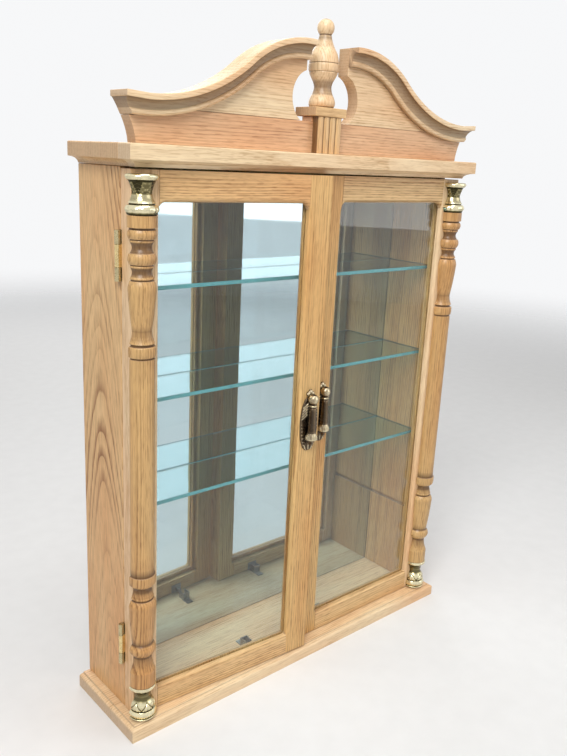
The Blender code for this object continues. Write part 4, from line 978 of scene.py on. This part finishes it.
finial = {
    "outline": (  # height above the cap and radius: foot, neck, bulb and spire
        (0.0, 0.0116), (0.0022, 0.0127), (0.005, 0.013), (0.009, 0.0118), (0.0133, 0.0097),
        (0.0184, 0.0086), (0.0231, 0.0096), (0.0274, 0.0119), (0.0323, 0.0142), (0.036, 0.0149),
        (0.04, 0.0146), (0.0485, 0.0128), (0.0556, 0.0091), (0.0626, 0.0065), (0.0664, 0.0062),
    ),
    "lines": (0.0323, 0.0402, 0.0655), "lineDeep": 0.0005, "lineWide": 0.0005, "ball": 0.0083,
    "fine": 0.0003,
    "span": 0.001,  # of relief between the painted shade of a line and pale
    "steps": 64,
}


def throughPoints(points, fine=10):
    # a smooth curve through (height, radius) points, as (radius, height)
    padded = [points[0]] + list(points) + [points[-1]]
    curve = []
    for before, start, end, after in zip(padded, padded[1:], padded[2:], padded[3:]):
        for i in range(fine):
            s = i / fine
            spot = []
            for p0, p1, p2, p3 in zip(before, start, end, after):
                bend = 2 * p0 - 5 * p1 + 4 * p2 - p3
                spot.append(p1 + 0.5 * s * (p2 - p0 + s * (bend + s * (3 * (p1 - p2) + p3 - p0))))
            curve.append((spot[1], spot[0]))
    return curve + [(points[-1][1], points[-1][0])]


def makeFinial():
    low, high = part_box("finial")
    y = (low.y + high.y) / 2
    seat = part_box("plinth_cap")[1].z + gap
    profile = []
    for radius, height in finer(throughPoints(finial["outline"]), finial["fine"]):
        inGroove = max(bump(height, line, finial["lineWide"]) for line in finial["lines"])
        profile.append((radius - finial["lineDeep"] * inGroove, seat + height))
    neck = degrees(acos(profile[-1][0] / finial["ball"]))
    middle = profile[-1][1] + finial["ball"] * sin(radians(neck))
    profile += ballProfile(finial["ball"], middle, -neck, 89, 24)[1:]
    mesh = spun(profile, 0, y, finial["steps"], span=finial["span"])
    paint = oak("finial", (low, high), "pale", rings=0.8, grooves=True)
    makePiece("finial", "turned", mesh, paint, smooth=28, even=False)


for hand in hands:
    makeScroll(hand)
makePilaster()
makeFinial()
print("pediment: scrolls, pilaster and finial")


# drop pulls

plate = {
    "halfWide": 0.0113, "halfTall": 0.0298,
    "round": 0.4,  # a power, 0.5 on an oval
    "thick": 0.0012, "edge": 0.0007,
    "rise": 0.0008,  # of the rim, the ribs and the beads
    "ribSpacing": 0.104,  # over half the plate's height
    "ribSlope": 0.26, "ribs": (0.37, 0.84), "rows": 260, "columns": 72, "ribEdge": 0.02,
    "bare": (0.2, 0.32),  # the middle has no ribs
    "power": 1.3, "rim": (0.93, 0.06),
    "rimHeight": (0.55, 0.45),  # and how much of it the ribs take
    "beads": (0.82, 0.11), "beadSpacing": 0.13, "beadsEnd": (-0.02, 0.06), "beadHeight": 0.85,
    "palm": (-0.84, -0.7), "palmHeight": 0.9, "calm": ((0.76, 0.84), (0.55, 0.75)),
    "field": (0.3, 7, 15),  # height and waves across and up
    "slopes": (0.12, 0.05),
    "tip": 0.0003,  # half width of the ends
    "marks": (0.12, 0.86), "rear": 0.3, "crownUp": 0.0017,
    "leaf": 0.0026,  # radius of the top leaf of the crown
    "leaves": ((90, 1.0), (22, 0.86), (158, 0.86)),  # direction and size
    "leafOut": 1.12, "heart": (1.5, 0.55), "leafRim": 0.0008, "leafRise": 0.0016, "leafRibs": (0.08, 6),
    "leafMarks": (0.1, 0.75),
}
pendant = {
    "ball": 0.0055, "hang": 0.0018, "back": 0.0036, "neck": 0.003,
    "stretches": (  # down: neck, collar, flare, eight-sided drop, groove, shell and lip
        (1.2, 3.1, 0), (2.2, 3.3, 1.1), (0.6, 3, 0), (2, 3.8, 0.3), (24, 4.9, 0), (1.1, 4.4, 0),
        (7.7, 6.5, 0.3), (0.8, 4.6, 0),
    ),
    "tip": 0.0065, "tipRadius": 0.0022,
    "slot": (0.0013, 0.0025),  # half width and depth in front of the pin
    "pinHole": (0.0011, 0.0039),  # radius and reach to each side
    "sides": 8,
    "facets": ((10.6, 12.6), (34.0, 34.8)),  # millimetres under the middle of the ball
    "facetDepth": 4.0,
    "shells": (40.6, 2.9, 0.26, 22),  # middle, width, depth and waves
    # the facets' share is painted light and shade on alternate facet edges
    "ground": 0.3, "facetLightAndShade": 0.16,
    "tones": (  # of ball, collar, shell and tip: change, change with the pleats, start and end
        (0.22, 0.0, (-9.0, -8.0), (4.6, 5.4)), (0.6, 0.0, (5.4, 6.2), (7.8, 8.4)),
        (0.4, 0.24, (35.6, 36.6), (43.0, 43.8)), (0.18, 0.0, (44.0, 45.0), (98.0, 99.0)),
    ),
    "span": 0.003,  # of relief between dark and pale
    "steps": 132,
}
pullPivot = Vector(hinges["right_pull_hinge"]["pos_m"])
plateMiddle = rightBox("pull_plate")[0].z + plate["halfTall"]


def plateRelief(s, t):
    # the height of the chased pattern, 0 to 1, at -1 to 1 across and -1 to 1 up the oval
    side = abs(s)
    fan = t + plate["ribSlope"] * side
    first, last = plate["ribs"]
    inside = within(fan, (first, first + plate["ribEdge"]), (last, last + plate["ribEdge"]))
    inside *= smoothStep(*plate["bare"], side)
    wave = max(0.0, -cos(2 * pi * (fan - first) / plate["ribSpacing"])) ** plate["power"]
    tall, less = plate["rimHeight"]
    rim = bump(side, *plate["rim"]) * (tall - less * inside)
    bead = (0.5 + 0.5 * cos(2 * pi * t / plate["beadSpacing"])) ** 2
    bead *= bump(side, *plate["beads"]) * (1 - smoothStep(*plate["beadsEnd"], t))
    palm = (1 - smoothStep(*plate["palm"], t)) * max(0.0, cos(s * 3 * pi))
    above, beside = plate["calm"]
    calm = 1 - smoothStep(*above, t) * (1 - smoothStep(*beside, side))
    tall, across, up = plate["field"]
    field = tall * max(0.0, cos(across * pi * s) * cos(up * pi * t)) * (1 - inside)
    forms = (rim, inside * wave, plate["beadHeight"] * bead, plate["palmHeight"] * palm, field)
    return min(1.0, max(forms)) * calm


def makePlate(hand):
    back = rightBox("pull_plate")[1].y
    mesh = bmesh.new()
    grid, marks = [], []
    across, up = plate["slopes"]
    ground, more = plate["marks"]
    for i in range(plate["rows"] + 1):
        t = -cos(pi * i / plate["rows"])
        wide = plate["halfWide"] * max(0.0, 1 - t * t) ** plate["round"] + plate["tip"]
        line = []
        for j in range(plate["columns"] + 1):
            s = -cos(pi * j / plate["columns"])
            slope = smoothStep(0.0, across, 1 - abs(s)) * smoothStep(0.0, up, 1 - abs(t))
            lift = plateRelief(s, t)
            y = back - plate["edge"] - (plate["thick"] - plate["edge"] + lift * plate["rise"]) * slope
            line.append(mesh.verts.new((pullPivot.x + s * wide, y, plateMiddle + t * plate["halfTall"])))
            marks.append(ground + more * lift * slope)
        grid.append(line)
    for lower, upper in zip(grid, grid[1:]):
        for j in range(plate["columns"]):
            mesh.faces.new((lower[j], lower[j + 1], upper[j + 1], upper[j]))
    edges = [line[0] for line in grid] + grid[-1][1:-1]
    edges += [line[-1] for line in reversed(grid)] + grid[0][-2:0:-1]
    rear = [mesh.verts.new((v.co.x, back, v.co.z)) for v in edges]
    for i in range(len(edges)):
        k = (i + 1) % len(edges)
        mesh.faces.new((edges[i], edges[k], rear[k], rear[i]))
    mesh.faces.new(rear)
    bmesh.ops.recalc_face_normals(mesh, faces=mesh.faces)
    markVerts(mesh, marks + [plate["rear"]] * len(rear))

    crown = plateMiddle + plate["halfTall"] + plate["crownUp"]
    size, rise = plate["heart"]
    leaves = [mesh, leafBoss(pullPivot.x, back, crown, plate["leaf"] * size, rise)]
    reach = plate["leaf"] * plate["leafOut"]
    for way, size in plate["leaves"]:
        a = radians(way)
        x, z = pullPivot.x + reach * cos(a), crown + reach * sin(a)
        leaves.append(leafBoss(x, back, z, plate["leaf"] * size))
    makeDoorPiece(hand, hand + "_pull_plate", "cast", joined(leaves), pullBrass, smooth=50)


def leafBoss(x, back, z, radius, rise=1.0):
    # a domed boss with ribs, as one leaf of the crown
    ribDepth, ribs = plate["leafRibs"]
    rings = []
    for a in arc(0, 86, 10):
        y = back - rise * (plate["leafRim"] + plate["leafRise"] * sin(a))
        ring = []
        for b in arc(0, 360, 48)[:-1]:
            r = radius * cos(a) * (1 + ribDepth * cos(ribs * b))
            ring.append((x + r * cos(b), y, z + r * sin(b)))
        rings.append(ring)
    rings.insert(0, [(px, back, pz) for px, py, pz in rings[0]])
    mesh = skin(rings)
    low, more = plate["leafMarks"]
    tall = rise * (plate["leafRim"] + plate["leafRise"])
    markVerts(mesh, [low + more * (back - vert.co.y) / tall for vert in mesh.verts])
    return mesh


def underBall(z):
    return (pullPivot.z - pendant["hang"] - z) / mm


def pendantRelief(a, z):
    h = underBall(z)
    half = pi / pendant["sides"]
    faceted = (cos(half) / cos((a % (2 * half)) - half) - 1) * pendant["facetDepth"]
    return (within(h, *pendant["facets"]) * faceted + waves(h, a, pendant["shells"])) * mm


def pendantTone(a, z):
    h = underBall(z)
    # painted light and shade: every other facet edge lighter, the edges between darker, all down the pendant
    facets = pendant["facetLightAndShade"] * cos(pendant["sides"] * a / 2)
    return facets + bandTone(h, pendant, cos(pendant["shells"][-1] * a))


def pendantRoom():
    # a slot for the lug, open at the back and the top, and blind holes for its pin
    x, y, z = pullPivot
    half, deep = pendant["slot"]
    reach = 2 * pendant["ball"]
    corners = ((y - deep, z - deep), (y + reach, z - deep), (y + reach, z + reach), (y - deep, z + reach))
    slot = skin([[(x + side * half, *corner) for corner in corners] for side in (-1, 1)])
    radius, far = pendant["pinHole"]
    circle = [(y + radius * cos(a), z + radius * sin(a)) for a in arc(0, 360, 24)[:-1]]
    return slot, skin([[(x + side * far, *point) for point in circle] for side in (-1, 1)])


def makePendant(hand):
    neck = degrees(acos(pendant["neck"] / pendant["ball"]))
    profile = ballProfile(pendant["ball"], pullPivot.z - pendant["hang"], 88, -neck, 22)
    profile += turnedProfile(pendant["neck"], pendant["stretches"], profile[-1][1], -1)[1:]
    tip = profile[-1][1] - pendant["tip"]
    profile += ballProfile(pendant["tipRadius"], tip + pendant["tipRadius"], 20, -88, 8)
    profile = finer(profile)
    shape = {"relief": pendantRelief, "tone": pendantTone, "span": pendant["span"]}
    mesh = spun(profile, pullPivot.x, pullPivot.y, pendant["steps"], **shape)
    for vert in mesh.verts:  # its back is flat
        vert.co.y = min(vert.co.y, pullPivot.y + pendant["back"])
    mesh = carved(mesh, pendantRoom())
    makeDoorPiece(hand, hand + "_pull_pendant", "cast", mesh, dropBrass, smooth=40)


postEase = {"width": 0.0003, "shortest": 0.001}
pullBrass = metal("plate brass", "antique", True)
dropBrass = metal("drop brass", "antique", True)
postBrass = metal("post brass", "antique")
for hand in hands:
    makePlate(hand)
    makePendant(hand)
    node = hand + "_pull_post"
    makePiece(node, "cast", easeEdges(nodeMesh(node), **postEase), postBrass)
print("pulls: 2")


# hinges, catches and hangers

screwHead = {
    "radius": 0.00205, "dome": 0.00035, "slotWide": 0.0006, "slotSlope": (0.4, 0.6), "slotDeep": 0.0004,
    "rim": 0.0003,
    "end": (0.000008, 0.000011),  # least and most area of a screw's end in the solid
    "turn": 0.9,  # from one slot to the next
    "proud": 0.0002,  # the solid's screw over its plate
    "sink": 0.0004, "rings": 9, "steps": 36,
}
plateEase = {"width": 0.0004, "shortest": 0.0008, "sharp": 50}


def slottedHead(middle, facing, turn):
    rings = []
    for a in arc(0, 88, screwHead["rings"]):
        ring = []
        for b in arc(0, 360, screwHead["steps"])[:-1]:
            reach = screwHead["radius"] * cos(a)
            across, along = reach * cos(b), reach * sin(b)
            slot = 1 - smoothStep(*screwHead["slotSlope"], abs(along) / screwHead["slotWide"])
            rise = screwHead["dome"] - screwHead["slotDeep"] * slot
            ring.append((across, along, rise * sin(a)))
        rings.append(ring)
    rings.insert(0, [(x, y, -screwHead["rim"]) for x, y, z in rings[0]])
    mesh = skin(rings)
    mesh.transform(Matrix.Rotation(turn, 4, "Z"))
    mesh.transform(Vector((0, 0, 1)).rotation_difference(facing).to_matrix().to_4x4())
    mesh.transform(Matrix.Translation(middle))
    return mesh


def withHeads(mesh, count):
    # the screws' six-sided ends in the solid become round slotted heads
    least, most = screwHead["end"]
    heads = []
    for face in mesh.faces:
        if len(face.verts) == 6 and least < face.calc_area() < most:
            count += 1
            facing = face.normal.copy()
            middle = face.calc_center_median() - facing * screwHead["proud"]
            heads.append(slottedHead(middle, facing, screwHead["turn"] * count))
            for vert in face.verts:
                vert.co -= facing * screwHead["sink"]
    return joined([easeEdges(mesh, **plateEase)] + heads)


caseBrass = metal("case hinge brass", "case hinge")
doorBrass = metal("door hinge brass", "door hinge")
catchSteel = metal("catch steel", "steel")
for count, node in enumerate(nodes):
    if "hinge_" in node and "stile" not in node:
        paint = doorBrass if "door_leaf" in node else caseBrass
        makePiece(node, "filed", withHeads(nodeMesh(node), count), paint)
    elif "catch" in node or "hanger" in node:
        makePiece(node, "plated", withHeads(nodeMesh(node), count), catchSteel)
print("hinges: 4, catches: 2, hangers: 2")


# floor, light and camera

floorLook = {"radius": 6.0, "segments": 96, "fade": (1.1, 3.2)}  # it fades into the sky
worldLook = {"sky": (0.93, 0.935, 0.945), "ambient": 0.22}
lamps = {  # place, aim, size and watts
    "key": ((-1.1, -0.88, 1.66), (0.0, 0.0, 0.34), 0.9, 29.0),
    "fill": ((1.35, -1.35, 0.95), (0.0, 0.0, 0.34), 1.3, 7.0),
    "crown": ((0.05, -0.25, 2.05), (0.0, 0.0, 0.45), 1.0, 12.0),
    "back": ((0.7, 1.6, 1.2), (0.0, 0.0, 0.34), 1.4, 10.0),
}


def makeFloor():
    mesh = bmesh.new()
    bmesh.ops.create_circle(mesh, cap_ends=True, radius=floorLook["radius"], segments=floorLook["segments"])
    floor = addObject("floor", meshData("floor", mesh))
    paint = surface("floor paper")
    tree = paint.node_tree
    reach = vectors("LENGTH", tree.nodes["Texture Coordinate"].outputs["Object"])["Value"]
    near, far = floorLook["fade"]
    fade = addNode(tree, "MapRange", {0: reach, 1: near, 2: far}, interpolation_type="SMOOTHSTEP")[0]
    seeThrough(tree.nodes["Principled BSDF"], fade)
    floor.data.materials.append(paint)


def makeLight():
    for name, (place, aim, size, watts) in lamps.items():
        lamp = bpy.data.lights.new(name, "AREA")
        lamp.size = size
        lamp.energy = watts
        holder = addObject(name, lamp)
        holder.location = place
        holder.rotation_euler = (Vector(aim) - Vector(place)).to_track_quat("-Z", "Y").to_euler()
    world = bpy.data.worlds.new("studio")
    world.use_nodes = True
    bpy.context.scene.world = world
    tree = world.node_tree
    path = addNode(tree, "LightPath", {})
    seen = calc("MAXIMUM", path["Is Camera Ray"], path["Is Glossy Ray"])
    seen = calc("MAXIMUM", seen, path["Is Transmission Ray"])
    level = addNode(tree, "MapRange", {0: seen, 3: worldLook["ambient"], 4: 1.0})[0]
    feed(tree.nodes["Background"], {"Color": worldLook["sky"], "Strength": level})


camera = {
    "place": (-0.55083, -0.606503, 0.55266), "azimuth": 41.65, "elevation": 15.65, "roll": 2.83,
    "pixels": 778.24,  # focal length over a pixel
    "tall": 756,
    "sensor": 36.0,  # millimetres
    "nearest": 0.01,
}


def makeCamera():
    lens = bpy.data.cameras.new("photo camera")
    lens.sensor_fit = "VERTICAL"
    lens.sensor_height = lens.sensor_width = camera["sensor"]
    lens.lens = camera["pixels"] * lens.sensor_height / camera["tall"]
    lens.clip_start = camera["nearest"]
    eye = addObject("photo camera", lens)
    azimuth, elevation, roll = (radians(camera[key]) for key in ("azimuth", "elevation", "roll"))
    turn = Matrix.Rotation(-azimuth, 4, "Z") @ Matrix.Rotation(pi / 2 - elevation, 4, "X")
    eye.matrix_world = Matrix.Translation(camera["place"]) @ turn @ Matrix.Rotation(roll, 4, "Z")
    bpy.context.scene.camera = eye


makeFloor()
makeLight()
makeCamera()
bpy.context.scene.view_settings.view_transform = "Standard"
print("stage: floor, %d lamps and the camera" % len(lamps))
